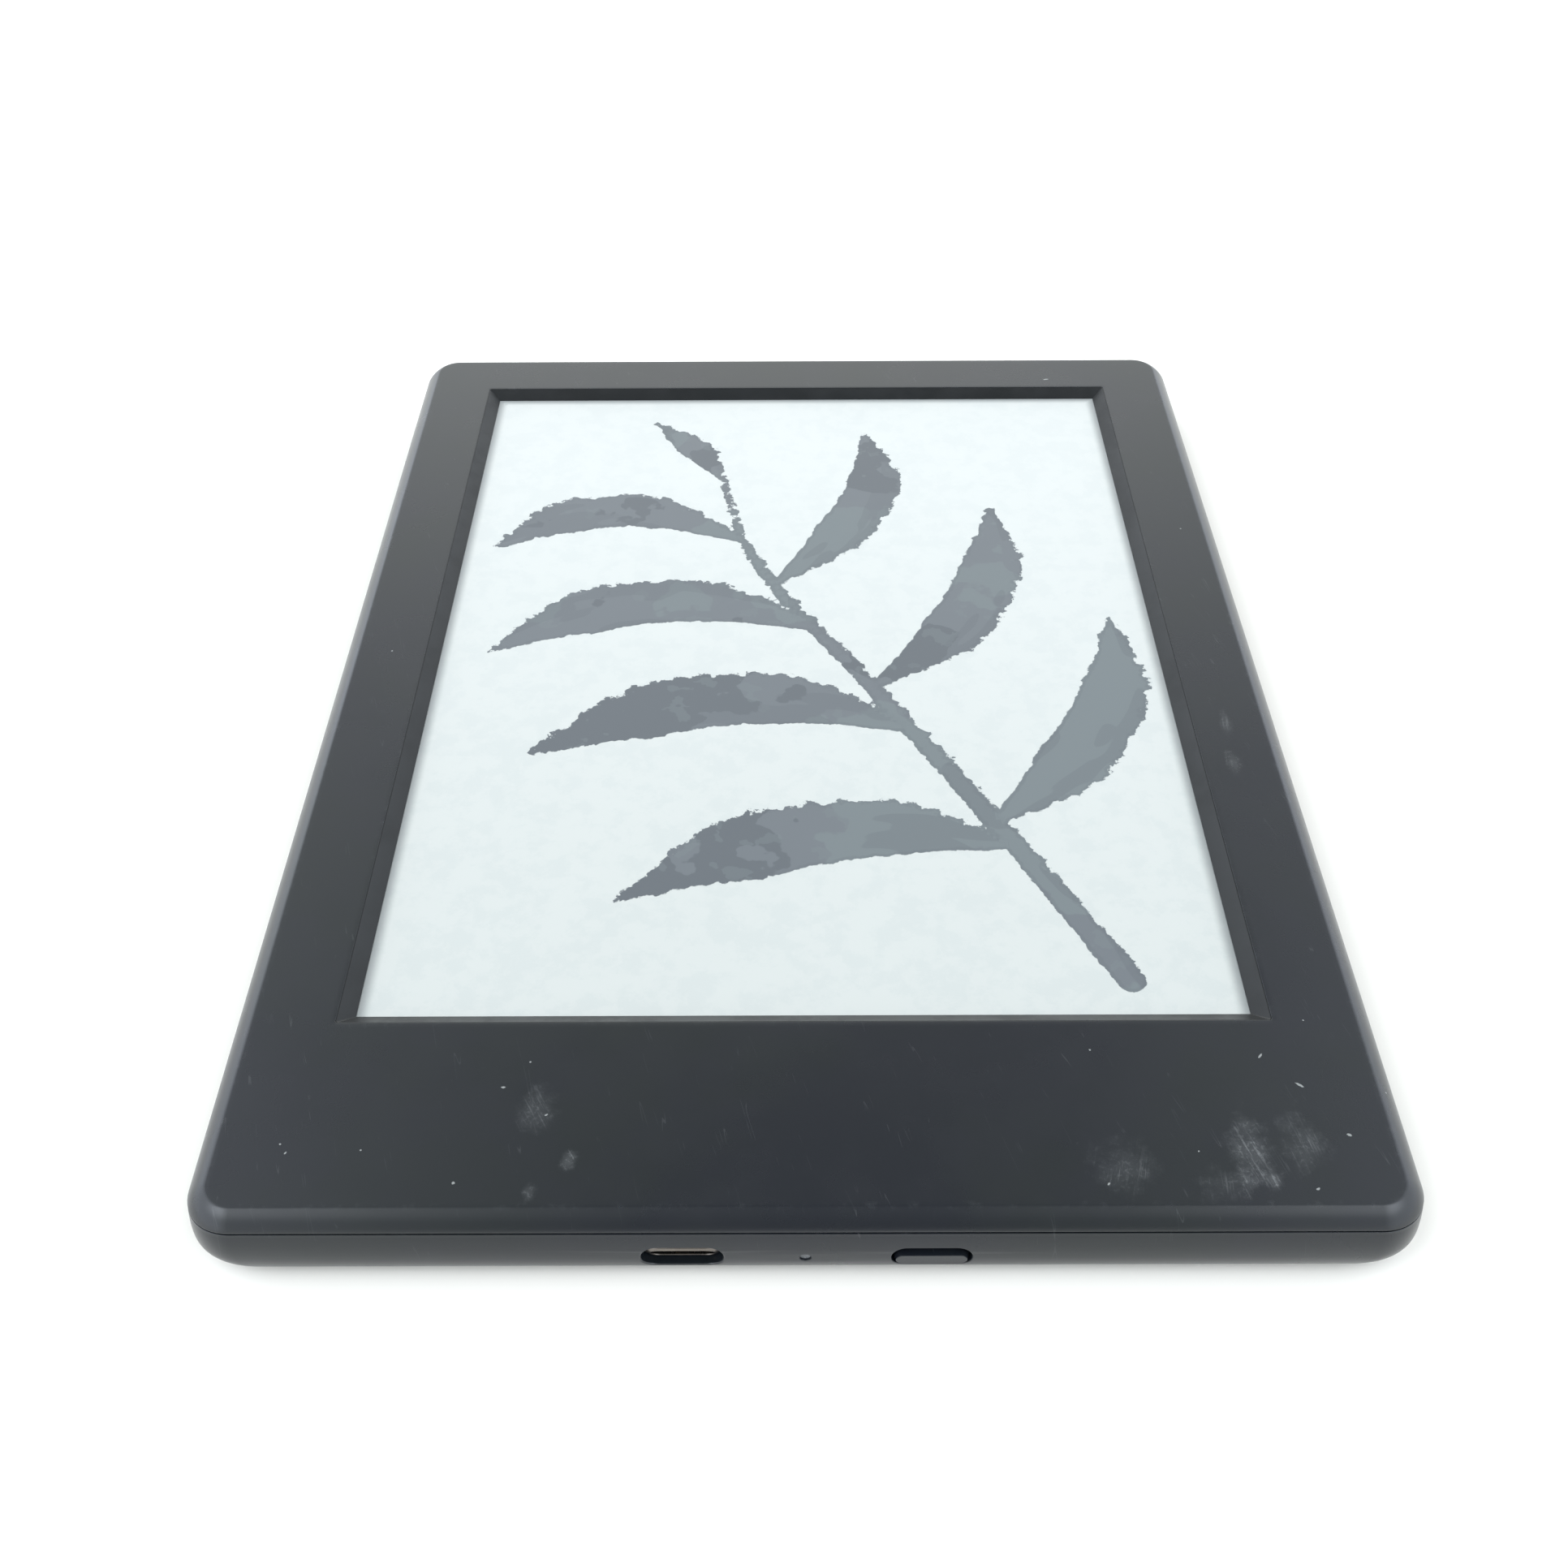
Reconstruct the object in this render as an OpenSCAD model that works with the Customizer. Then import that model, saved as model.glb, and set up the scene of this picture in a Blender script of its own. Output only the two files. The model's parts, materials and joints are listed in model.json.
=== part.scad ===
// Six-inch e-reader lying on its back with the screen up.
// Origin: middle of the flat back. +X to the right, +Y away from the socket edge, +Z up. Millimetres.

/* [Body] */
// Width across the two long sides
body_w = 115; // [113:0.5:118]
// Length from the socket edge to the far edge
body_l = 160; // [159:0.5:164]
// Thickness from the back to the front face
body_t = 9.1; // [9.1:0.1:9.4]
// Corner radius of the outline seen from above
corner_r = 5; // [4.5:0.5:6]
// Height of the parting line between the front frame and the rear cover
seam_z = 7.1; // [7.0:0.05:7.2]
// How far the sloped shoulder runs in from the outline to the flat front
shoulder_run = 2.1; // [1.8:0.1:2.2]

/* [Underside] */
// How far the curved underside runs in from the outline to the flat back
under_run = 4.3; // [3.5:0.1:4.5]
// Height where the curved underside turns into the upright side
under_top = 4.4; // [4:0.1:4.6]
// Corner radius of the flat back
back_corner_r = 7.3; // [5:0.1:8]

/* [Screen] */
// Width of the picture area
screen_w = 90.6; // [88:0.1:90.6]
// Length of the picture area
screen_l = 122.4; // [120:0.1:122.4]
// Plain front frame between the socket edge and the picture
chin = 25.5; // [25.5:0.1:26]
// Depth of the screen below the front face
screen_drop = 1.1; // [1:0.05:1.15]
// Run of the sloped border round the picture
bevel_run = 1.6; // [1.2:0.1:1.7]

/* [Edge fittings] */
// Centre of the charging socket
usb_x = -11.35; // [-12:0.05:-11]
// Centre of the charge light
led_x = 0; // [-1:0.1:1]
// Centre of the power button
button_x = 11.65; // [11:0.05:12]
// Height of the socket, light and button
fitting_z = 3.9; // [3.85:0.05:3.95]
// Width of the power button's slot
button_w = 7.5; // [7:0.1:8]
// Travel of the power button
button_travel = 0.3; // [0.2:0.05:0.35]

/* [Battery] */
// Width of the battery cell
cell_w = 48; // [40:1:52]
// Length of the battery cell
cell_l = 56; // [50:1:60]

/* [Hidden] */
$fn = 64;
eps = 0.01;

case_colour = [0.25, 0.27, 0.30];
board_green = [0.10, 0.32, 0.20];
chip_black = [0.08, 0.08, 0.09];
tin = [0.78, 0.79, 0.80];
gold = [0.85, 0.66, 0.28];
film_orange = [0.75, 0.45, 0.12];

near_y = -body_l / 2;
wall = 1.2;
// Parting line and shoulder
seam_gap = 0.08;
side_step = 0.05;
bezel_bottom = seam_z + seam_gap / 2;
cover_top = seam_z - seam_gap / 2;
shoulder_turn = 42;
top_wall = 0.8;
bezel_under = body_t - top_wall;
// Layers under the screen, from the picture surface down
screen_z = body_t - screen_drop;
glass_top = screen_z - 0.3;
glass_bottom = glass_top - 0.6;
frame_top = glass_bottom - 0.1;
frame_bottom = frame_top - 0.6;
board_top = frame_bottom - 0.3;
board_bottom = board_top - 0.8;
// Picture rectangle
pic_y0 = near_y + chin;
pic_y1 = pic_y0 + screen_l;
pic_x = screen_w / 2;
glass_side = 1.9;
glass_ledge = 7;
guide_side = 3;
guide_near = 8.6;
touch_strip = 3.2;
touch_gap = 0.1;
// Fastening
screw_r = 0.7;
screw_head_r = 1.3;
screw_head_h = 0.7;
screw_inset = 4.2;
boss_r = 1.6;
hook_w = 6;
frame_inset = 2.5;
screw_spots = [for (sx = [-1, 1], y = [near_y + 6, -22, 30]) [sx * (body_w / 2 - screw_inset), y],
    for (sx = [-1, 1]) [sx * 28, body_l / 2 - screw_inset]];
board_screw_spots = [[-32.5, -75], [45, -75], [-32.5, -49.2], [45, -49.2]];
hook_side_y = [-55, -10, 50];
hook_end_x = [-38, 38];
// Main board
board_x0 = -36;
board_x1 = 48;
board_y0 = near_y + 2.4;
board_y1 = -46;
notch_x0 = -15;
notch_x1 = 11;
notch_y = -64;
// Edge fittings
port_w = 7.6;
port_h = 3.1;
shell_w = 7.2;
shell_h = 2.7;
shell_t = 0.3;
shell_y0 = near_y + 0.3;
shell_l = 5.4;
slot_h = 2.9;
cap_gap = 0.22;
pocket_y = near_y + 1.1;
flange_y = pocket_y + 0.1;
flange_t = 0.5;
plunger_y = near_y + 1.95;
switch_y = near_y + 2.7;
pipe_r = 0.5;
film_t = 0.12;
// Battery
cell_y0 = -36;
cell_top = frame_bottom - 0.15;
cell_h = 3.8;
wire_r = 0.4;

// Inset of the underside's curve at height z: a quarter of a superellipse
function under_inset(z) = z >= under_top ? 0
    : under_run * (1 - pow(1 - pow(1 - z / under_top, 2.3), 1 / 2.3));
// Points on an arc from p to q that turns clockwise by the given degrees
function arc_between(p, q, turn, n) = let(
    a0 = atan2(q[1] - p[1], q[0] - p[0]) + turn / 2,
    r = norm(q - p) / (2 * sin(turn / 2)),
    c = p - r * [-sin(a0), cos(a0)])
    [for (i = [0:n]) let(a = a0 - turn * i / n) c + r * [-sin(a), cos(a)]];
// Points of an arc about c with radius r from angle a0 to a1
function arc(c, r, a0, a1, n = 8) =
    [for (i = [0:n]) let(a = a0 + (a1 - a0) * i / n) c + r * [cos(a), sin(a)]];
function unit(v) = v / norm(v);
// Sideways direction at point i of a path
function side_at(path, i) = let(
    a = path[max(i - 1, 0)], b = path[min(i + 1, len(path) - 1)], d = unit(b - a)) [-d[1], d[0]];
// Outline of a strip of thickness t along a path
function strip(path, t) = concat(
    [for (i = [0:len(path) - 1]) path[i] + side_at(path, i) * t / 2],
    [for (i = [len(path) - 1:-1:0]) path[i] - side_at(path, i) * t / 2]);

// Rounded rectangle with true arcs
module rounded(w, l, r) {
    square([w - 2 * r, l], center = true);
    square([w, l - 2 * r], center = true);
    for (sx = [-1, 1], sy = [-1, 1]) translate([sx * (w / 2 - r), sy * (l / 2 - r)]) circle(r);
}
// Outline of the body drawn in by d
module outline(d) { rounded(body_w - 2 * d, body_l - 2 * d, max(corner_r - d, 0.4)); }
// Slot with round ends, lying along X and centred
module slot(w, h) {
    square([w - h, h], center = true);
    for (s = [-1, 1]) translate([s * (w - h) / 2, 0]) circle(h / 2);
}
// Picture rectangle grown by s all round, or by s_near on the socket side
module picture(s, s_near = -1) {
    n = s_near < 0 ? s : s_near;
    translate([-pic_x - s, pic_y0 - n]) square([screen_w + 2 * s, screen_l + s + n]);
}
module slab(z0, z1) { translate([0, 0, z0]) linear_extrude(z1 - z0) children(); }
// Box between two corners
module box(a, b) { translate(a) cube(b - a); }
// Extrudes a shape drawn in X and Z along +Y from y0 by length l
module along_y(y0, l) { translate([0, y0 + l, 0]) rotate([90, 0, 0]) linear_extrude(l) children(); }
// Rounded block whose edge follows pts, a list of [inset, height]
module swept_block(pts) {
    r = corner_r;
    cx = body_w / 2 - r;
    cy = body_l / 2 - r;
    z0 = pts[0][1];
    z1 = pts[len(pts) - 1][1];
    edge = concat([[0, z0]], [for (p = pts) [r - p[0], p[1]]], [[0, z1]]);
    translate([-cx, -cy, z0]) cube([2 * cx, 2 * cy, z1 - z0]);
    for (q = [[cx, cy, 0], [-cx, cy, 90], [-cx, -cy, 180], [cx, -cy, 270]])
        translate([q[0], q[1], 0]) rotate(q[2]) rotate_extrude(angle = 90) polygon(edge);
    for (q = [[cx, cy, 0, 2 * cy], [-cx, cy, 90, 2 * cx], [-cx, -cy, 180, 2 * cy], [cx, -cy, 270, 2 * cx]])
        translate([q[0], q[1], 0]) rotate(q[2]) rotate([90, 0, 0]) linear_extrude(q[3]) polygon(edge);
}
// Round tube swept along a list of points
module tube(path, r, sides = 8) {
    n = len(path);
    pts = [for (i = [0:n - 1]) let(
        d = unit(path[min(i + 1, n - 1)] - path[max(i - 1, 0)]),
        u = unit(cross(d, [0, 0, 1])), v = cross(u, d))
        for (k = [0:sides - 1]) path[i] + r * (u * cos(360 * k / sides) + v * sin(360 * k / sides))];
    polyhedron(pts, concat(
        [[for (k = [0:sides - 1]) k]],
        [for (i = [0:n - 2], k = [0:sides - 1]) let(j = (k + 1) % sides)
            [i * sides + k, (i + 1) * sides + k, (i + 1) * sides + j, i * sides + j]],
        [[for (k = [sides - 1:-1:0]) (n - 1) * sides + k]]));
}

// ---- Case ----
module front_bezel() {
    color(case_colour) {
        difference() {
            swept_block(arc_between([side_step, bezel_bottom], [shoulder_run, body_t], shoulder_turn, 8));
            slab(bezel_bottom - 1, bezel_bottom + 0.55) outline(wall + 0.05);
            slab(bezel_bottom, bezel_under) outline(shoulder_run + 0.2);
            slab(bezel_bottom, body_t + 1) picture(bevel_run + 0.05);
        }
        // Lip that drops inside the rear cover, with gaps for its hooks
        difference() {
            slab(seam_z - 0.9, bezel_bottom + 0.55) outline(wall + 0.2);
            slab(seam_z - 1.9, bezel_bottom + 1.55) outline(wall + 1);
            hooks(0.4, 0.4, 1);
        }
        for (p = screw_spots) translate([p[0], p[1], frame_top]) difference() {
            cylinder(r = boss_r, h = bezel_under - frame_top + 0.1);
            translate([0, 0, -eps]) cylinder(r = screw_r + 0.03, h = bezel_under - frame_top - 0.1);
        }
    }
}
// Snap hooks on the inside of the rear cover; grow widens them into the gaps in the lip
module hooks(grow = 0, deep = 0, up = 0) {
    z0 = seam_z - 0.75 - deep;
    z1 = seam_z - 0.25 + up;
    h = hook_w / 2 + grow;
    for (y = hook_side_y, s = [-1, 1]) translate([s * (body_w / 2 - wall - 0.2), y, 0])
        box([-0.4 - deep, -h, z0], [0.4, h, z1]);
    for (x = hook_end_x, s = [-1, 1]) translate([x, s * (body_l / 2 - wall - 0.2), 0])
        box([-h, -0.4 - deep, z0], [h, 0.4, z1]);
}
module rear_cover() {
    rings = 9;
    // Height and inset of the hollow's rings, from its floor up
    hollow_rings = [[wall, 4.2], [1.9, 2.5], [2.8, 1.75], [under_top, wall], [cover_top + 1, wall]];
    color(case_colour) difference() {
        union() {
            difference() {
                hull() {
                    for (i = [0:rings]) let(z = under_top * (1 - cos(90 * i / rings)), d = under_inset(z),
                        r = corner_r + (back_corner_r - corner_r) * pow(1 - z / under_top, 2))
                        slab(z, z + eps) rounded(body_w - 2 * d, body_l - 2 * d, r, $fn = 32);
                    slab(cover_top - eps, cover_top) outline(side_step, $fn = 32);
                }
                hull() for (q = hollow_rings)
                    slab(q[0], q[0] + eps) rounded(body_w - 2 * q[1], body_l - 2 * q[1], 4, $fn = 32);
            }
            intersection() {
                hooks();
                slab(wall, cover_top) outline(wall - 0.3);
            }
            // Ribs that stiffen the back
            for (x = [-36, 36]) box([x - 0.4, -42, wall - 0.1], [x + 0.4, 62, 2.2]);
            for (y = [30, 52]) box([-36, y - 0.4, wall - 0.1], [36, y + 0.4, 2.2]);
        }
        along_y(near_y - 1, 4) translate([usb_x, fitting_z]) slot(port_w, port_h);
        along_y(near_y - 1, 4) translate([button_x, fitting_z]) slot(button_w, slot_h);
        translate([led_x, near_y - 1, fitting_z]) rotate([-90, 0, 0]) cylinder(r = pipe_r + 0.03, h = 4);
        // Pockets behind the button, the socket and the light
        box([button_x - 4.9, pocket_y, 1.7], [button_x + 4.9, near_y + 4, cover_top + 1]);
        box([usb_x - 4.4, near_y + 0.9, 1.9], [usb_x + 4.4, near_y + 4, cover_top + 1]);
        box([led_x - 1.4, near_y + 1.2, 3.1], [led_x + 1.4, near_y + 4, cover_top + 1]);
    }
}

// ---- Touch ring ----
module ir_light_guide() {
    color([0.12, 0.13, 0.15]) difference() {
        union() {
            slab(screen_z, bezel_under - 0.02) picture(guide_side, guide_near);
            slab(screen_z, body_t - 0.05) picture(bevel_run);
            difference() {
                slab(glass_top + 0.04, screen_z + eps) picture(guide_side);
                slab(glass_top - 1, screen_z + 1) picture(guide_side - 0.7);
            }
        }
        // The sloped border, cut with a four-sided taper
        hull() {
            slab(screen_z + 0.08, screen_z + 0.08 + eps) picture(0);
            slab(body_t + 0.1, body_t + 0.1 + eps) picture(bevel_run * (1 + 0.1 / screen_drop));
        }
        slab(screen_z - 1, screen_z + 0.1) picture(0);
    }
}
module touch_board() {
    s = guide_side + touch_gap;
    n = guide_near + touch_gap;
    color(board_green) slab(frame_top, frame_top + 0.5) difference() {
        union() {
            picture(s + touch_strip, n + touch_strip);
            translate([-pic_x - s - touch_strip, pic_y0 - n - touch_strip - 5]) square([5, 6]);
        }
        picture(s, n);
    }
}
// One row of sensing parts: centre of the row, direction, count, spacing, facing angle
module sensor_row(c, d, count, pitch, turn) {
    for (i = [0:count - 1]) translate(concat(c + d * pitch * (i - (count - 1) / 2), [frame_top + 0.5]))
        rotate(turn) {
            box([-0.9, -0.55, 0], [0.9, 0.55, bezel_under - frame_top - 0.6]);
            translate([0, 0.3, 0.25]) cylinder(r = 0.5, h = 0.5, $fn = 24);
        }
}
near_row_y = pic_y0 - guide_near - touch_gap - 0.9;
far_row_y = pic_y1 + guide_side + touch_gap + 0.9;
side_row_x = pic_x + guide_side + touch_gap + 0.9;
row_mid_y = (pic_y0 + pic_y1) / 2;
module ir_emitters() {
    color([0.75, 0.72, 0.8]) {
        sensor_row([0, near_row_y], [1, 0], 14, 6.4, 0);
        sensor_row([-side_row_x, row_mid_y], [0, 1], 19, 6.4, -90);
    }
}
module ir_detectors() {
    color([0.1, 0.09, 0.12]) {
        sensor_row([0, far_row_y], [1, 0], 14, 6.4, 180);
        sensor_row([side_row_x, row_mid_y], [0, 1], 19, 6.4, 90);
    }
}
touch_flex_x = -44.6;
touch_flex_y = pic_y0 - guide_near - touch_strip - 4.2;
module touch_flex() {
    top = frame_top + 0.58;
    low = board_bottom - 0.5;
    path = concat([[-50.2, top]], arc([touch_flex_x - 0.6, top - 0.6], 0.6, 90, 0),
        arc([touch_flex_x + 0.6, low + 0.6], 0.6, 180, 270), [[board_x0 + 1, low]]);
    color(film_orange) along_y(touch_flex_y - 1.5, 4) polygon(strip(path, film_t));
}
module touch_connector() {
    color([0.9, 0.88, 0.8]) difference() {
        box([board_x0 + 0.3, touch_flex_y - 2.2, board_bottom - 1],
            [board_x0 + 3.4, touch_flex_y + 3.2, board_bottom]);
        box([board_x0 - 1, touch_flex_y - 1.6, board_bottom - 0.6],
            [board_x0 + 2.2, touch_flex_y + 2.6, board_bottom - 0.4]);
    }
}
module touch_controller() {
    color(chip_black) box([-29, -70, board_bottom - 0.8], [-23, -64, board_bottom]);
}

// ---- Display ----
module display_front_sheet() {
    color([0.86, 0.88, 0.88]) slab(glass_top, screen_z) picture(glass_side - 0.2);
}
module display_backplane() {
    color([0.55, 0.62, 0.62]) slab(glass_bottom, glass_top) picture(glass_side, glass_ledge);
}
module display_driver() {
    color(chip_black) slab(glass_top, glass_top + 0.25)
        translate([-14, pic_y0 - 4.8]) square([28, 1.4]);
}
flex_mid = (notch_x0 + notch_x1) / 2;
flex_w = 20;
module display_flex() {
    y0 = pic_y0 - glass_ledge;
    top = glass_top + film_t / 2;
    low = board_bottom - 0.5;
    bend = 0.5;
    down = y0 - 0.8;
    path = concat([[y0 + 1.5, top]], arc([down + bend, top - bend], bend, 90, 180),
        arc([down - bend, low + bend], bend, 0, -90), [[notch_y - 2.4, low]]);
    color(film_orange) translate([flex_mid - flex_w / 2, 0, 0]) rotate([90, 0, 90])
        linear_extrude(flex_w) polygon(strip(path, film_t));
}
module display_connector() {
    color([0.92, 0.9, 0.82]) difference() {
        box([flex_mid - 11, notch_y - 4.6, board_bottom - 1], [flex_mid + 11, notch_y - 0.3, board_bottom]);
        box([flex_mid - 10.3, notch_y - 3, board_bottom - 1.1],
            [flex_mid + 10.3, notch_y, board_bottom - 0.35]);
    }
}
// Flip latch, shut on the film, with its two pivots
module connector_latch() {
    color(chip_black) difference() {
        union() {
            box([flex_mid - 10, notch_y - 2.8, board_bottom - 1.05],
                [flex_mid + 10, notch_y - 0.5, board_bottom - 0.6]);
            translate([flex_mid - 10.2, notch_y - 2.5, board_bottom - 0.8]) rotate([0, 90, 0])
                cylinder(r = 0.2, h = 20.4, $fn = 24);
        }
        box([flex_mid - flex_w / 2 - 0.1, notch_y - 4, board_bottom - 0.62],
            [flex_mid + flex_w / 2 + 0.1, notch_y, board_bottom]);
    }
}
module display_tape() {
    color([0.2, 0.2, 0.2]) slab(frame_top, glass_bottom) difference() {
        picture(1.5, 4);
        picture(-3, -3);
    }
}

// ---- Midframe ----
module midframe() {
    color([0.6, 0.61, 0.62]) difference() {
        slab(frame_bottom, frame_top) outline(frame_inset);
        for (p = screw_spots) translate([p[0], p[1], frame_bottom - 1]) cylinder(r = screw_r + 0.1, h = 3);
        // Slots for the two films
        box([flex_mid - flex_w / 2 - 0.6, pic_y0 - glass_ledge - 1.6, frame_bottom - 1],
            [flex_mid + flex_w / 2 + 0.6, pic_y0 - glass_ledge + 0.4, frame_top + 1]);
        box([touch_flex_x - 1, touch_flex_y - 2.2, frame_bottom - 1],
            [touch_flex_x + 0.6, touch_flex_y + 3.2, frame_top + 1]);
        for (x = [-42, 42], y = [-30, 0, 30, 58]) translate([x, y, frame_bottom - 1]) cylinder(r = 3, h = 3);
    }
    color([0.6, 0.61, 0.62]) for (p = board_screw_spots) translate([p[0], p[1], board_top]) difference() {
        cylinder(r = 1.8, h = frame_bottom - board_top + 0.1);
        translate([0, 0, -eps]) cylinder(r = screw_r + 0.03, h = 0.35);
    }
}
module screw(z_under, shank) {
    difference() {
        union() {
            translate([0, 0, z_under - screw_head_h]) cylinder(r = screw_head_r, h = screw_head_h);
            translate([0, 0, z_under - 0.1]) cylinder(r = screw_r, h = shank + 0.1);
        }
        for (a = [0, 90]) translate([0, 0, z_under - screw_head_h - eps]) rotate(a)
            translate([-0.75, -0.15, 0]) cube([1.5, 0.3, 0.4]);
    }
}
module midframe_screws() {
    color(tin) for (p = screw_spots) translate([p[0], p[1], 0]) screw(frame_bottom, 1.7);
}

// ---- Main board ----
module main_board() {
    color(board_green) difference() {
        box([board_x0, board_y0, board_bottom], [board_x1, board_y1, board_top]);
        box([notch_x0, notch_y, board_bottom - 1], [notch_x1, board_y1 + 1, board_top + 1]);
        for (p = board_screw_spots) translate([p[0], p[1], board_bottom - 1])
            cylinder(r = screw_r + 0.1, h = 3);
    }
}
module board_screws() {
    color(tin) for (p = board_screw_spots) translate([p[0], p[1], 0]) screw(board_bottom, 1.1);
}
shield_a = [22, -70];
shield_b = [41.5, -48];
shield_z = board_bottom - 1.5;
// Low and high corners of the shield's box, drawn in by d
function shield_low(d, z) = [shield_a[0] + d, shield_a[1] + d, z];
function shield_high(d, z) = [shield_b[0] - d, shield_b[1] - d, z];
module shield_frame() {
    color(tin) difference() {
        box(shield_low(0, shield_z), shield_high(0, board_bottom));
        box(shield_low(0.2, shield_z + 0.2), shield_high(0.2, board_bottom + 1));
        box(shield_low(1.2, shield_z - 1), shield_high(1.2, board_bottom));
    }
}
module shield_lid() {
    color([0.7, 0.71, 0.72]) difference() {
        box(shield_low(-0.25, shield_z - 0.2), shield_high(-0.25, board_bottom - 0.4));
        box(shield_low(-0.05, shield_z), shield_high(-0.05, board_bottom + 1));
    }
}
module chip(c, w, l, h) { translate([c[0] - w / 2, c[1] - l / 2, board_bottom - h]) cube([w, l, h]); }
module processor() { color(chip_black) chip([31.7, -55.5], 12, 12, 1); }
module memory_chip() { color(chip_black) chip([28, -66], 8, 6, 0.9); }
module storage_chip() { color(chip_black) chip([16.5, -59.5], 8, 11, 1); }
module power_chip() { color(chip_black) chip([36.8, -65.8], 6, 6, 0.8); }
module power_inductors() { color([0.3, 0.3, 0.31]) for (x = [25, 30, 35]) chip([x, -73.5], 3, 3, 1.2); }
module board_capacitors() {
    color([0.62, 0.5, 0.36]) for (i = [0:5]) {
        chip([-18 + 1.8 * i, -71.2], 0.8, 1.4, 0.7);
        chip([-33 + 1.8 * i, -63], 0.8, 1.4, 0.7);
        chip([43.6, -68 + 2.6 * i], 1.4, 0.8, 0.7);
    }
}
module clock_crystal() { color(tin) chip([18.5, -69], 3.2, 2.5, 0.7); }
module wireless_module() { color([0.1, 0.2, 0.4]) chip([-24.3, -54.5], 13, 11, 0.5); }
module wireless_shield() {
    color(tin) difference() {
        chip([-24.3, -54.5], 12.4, 10.4, 1.9);
        translate([0, 0, 0.25]) chip([-24.3, -54.5], 12, 10, 1.9);
        chip([-24.3, -54.5], 14, 12, 0.52);
    }
}
module antenna() {
    color(gold) slab(frame_bottom - 0.15, frame_bottom) difference() {
        translate([-53.5, -46]) square([14, 22]);
        for (y = [-42, -36, -30]) translate([-51.5, y]) square([13, 3]);
    }
}
module antenna_contact() {
    color(tin) {
        slab(frame_bottom - 0.35, frame_bottom - 0.15) translate([-44, -44]) square([2, 3]);
        slab(board_bottom - 0.2, board_bottom) translate([-35.8, -49]) square([1.7, 3.8]);
        slab(board_bottom - 0.2, frame_bottom - 0.15) translate([-35.8, -45.6]) square([1.7, 0.4]);
        slab(frame_bottom - 0.35, frame_bottom - 0.15) translate([-44, -45.6]) square([9.9, 1.7]);
    }
}

// ---- Socket, light and button ----
module usb_shell() {
    color(tin) difference() {
        union() {
            along_y(shell_y0 + 0.3, shell_l - 0.3) translate([usb_x, fitting_z]) slot(shell_w, shell_h);
            along_y(shell_y0, 0.35) translate([usb_x, fitting_z]) slot(shell_w + 0.25, shell_h + 0.2);
            for (s = [-1, 1]) translate([usb_x + s * 3.4, 0, 0])
                box([-0.5, shell_y0 + 2.4, fitting_z], [0.5, shell_y0 + 3.6, board_bottom]);
        }
        along_y(shell_y0 - 1, shell_l + 0.7) translate([usb_x, fitting_z])
            slot(shell_w - 2 * shell_t, shell_h - 2 * shell_t);
    }
}
module usb_tongue() {
    color(chip_black) {
        box([usb_x - 1.9, shell_y0 + 0.9, fitting_z + 0.05],
            [usb_x + 1.9, shell_y0 + shell_l - 0.5, fitting_z + 0.6]);
        along_y(shell_y0 + shell_l - 1.1, 0.75) translate([usb_x, fitting_z])
            slot(shell_w - 2 * shell_t - 0.04, shell_h - 2 * shell_t - 0.04);
    }
}
module usb_contacts() {
    color(gold) for (i = [-2:2])
        box([usb_x + 0.65 * i - 0.15, shell_y0 + 1.2, fitting_z - 0.03],
            [usb_x + 0.65 * i + 0.15, shell_y0 + shell_l - 1.1, fitting_z + 0.05]);
}
module charge_led() {
    color([0.95, 0.93, 0.8])
        box([led_x - 0.8, near_y + 2.5, board_bottom - 0.5], [led_x + 0.8, near_y + 3.3, board_bottom]);
}
module light_pipe() {
    color([0.9, 0.92, 0.93, 0.6]) {
        translate([led_x, near_y + 0.3, fitting_z]) rotate([-90, 0, 0]) cylinder(r = pipe_r, h = 3);
        box([led_x - 0.8, near_y + 2.4, fitting_z - 0.5], [led_x + 0.8, near_y + 3.4, board_bottom - 0.55]);
    }
}
module power_button() {
    cap_w = button_w - 2 * cap_gap;
    cap_h = slot_h - 2 * cap_gap;
    color([0.33, 0.35, 0.38]) {
        difference() {
            along_y(near_y + 0.05, flange_y - near_y) translate([button_x, fitting_z]) slot(cap_w, cap_h);
            // Deep sloped upper edge and a small lower one
            translate([button_x, near_y + 0.05, fitting_z + cap_h / 2]) rotate([45, 0, 0])
                translate([-cap_w, -2, -0.55]) cube([2 * cap_w, 4, 2]);
            translate([button_x, near_y + 0.05, fitting_z - cap_h / 2]) rotate([-45, 0, 0])
                translate([-cap_w, -2, -1.88]) cube([2 * cap_w, 4, 2]);
        }
        along_y(flange_y, flange_t) translate([button_x, fitting_z]) slot(button_w + 1.6, slot_h + 1);
        along_y(flange_y, plunger_y - flange_y - 0.05) translate([button_x, fitting_z])
            square([3, 1.2], center = true);
    }
}
switch_w = 6;
switch_d = 3.4;
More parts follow.
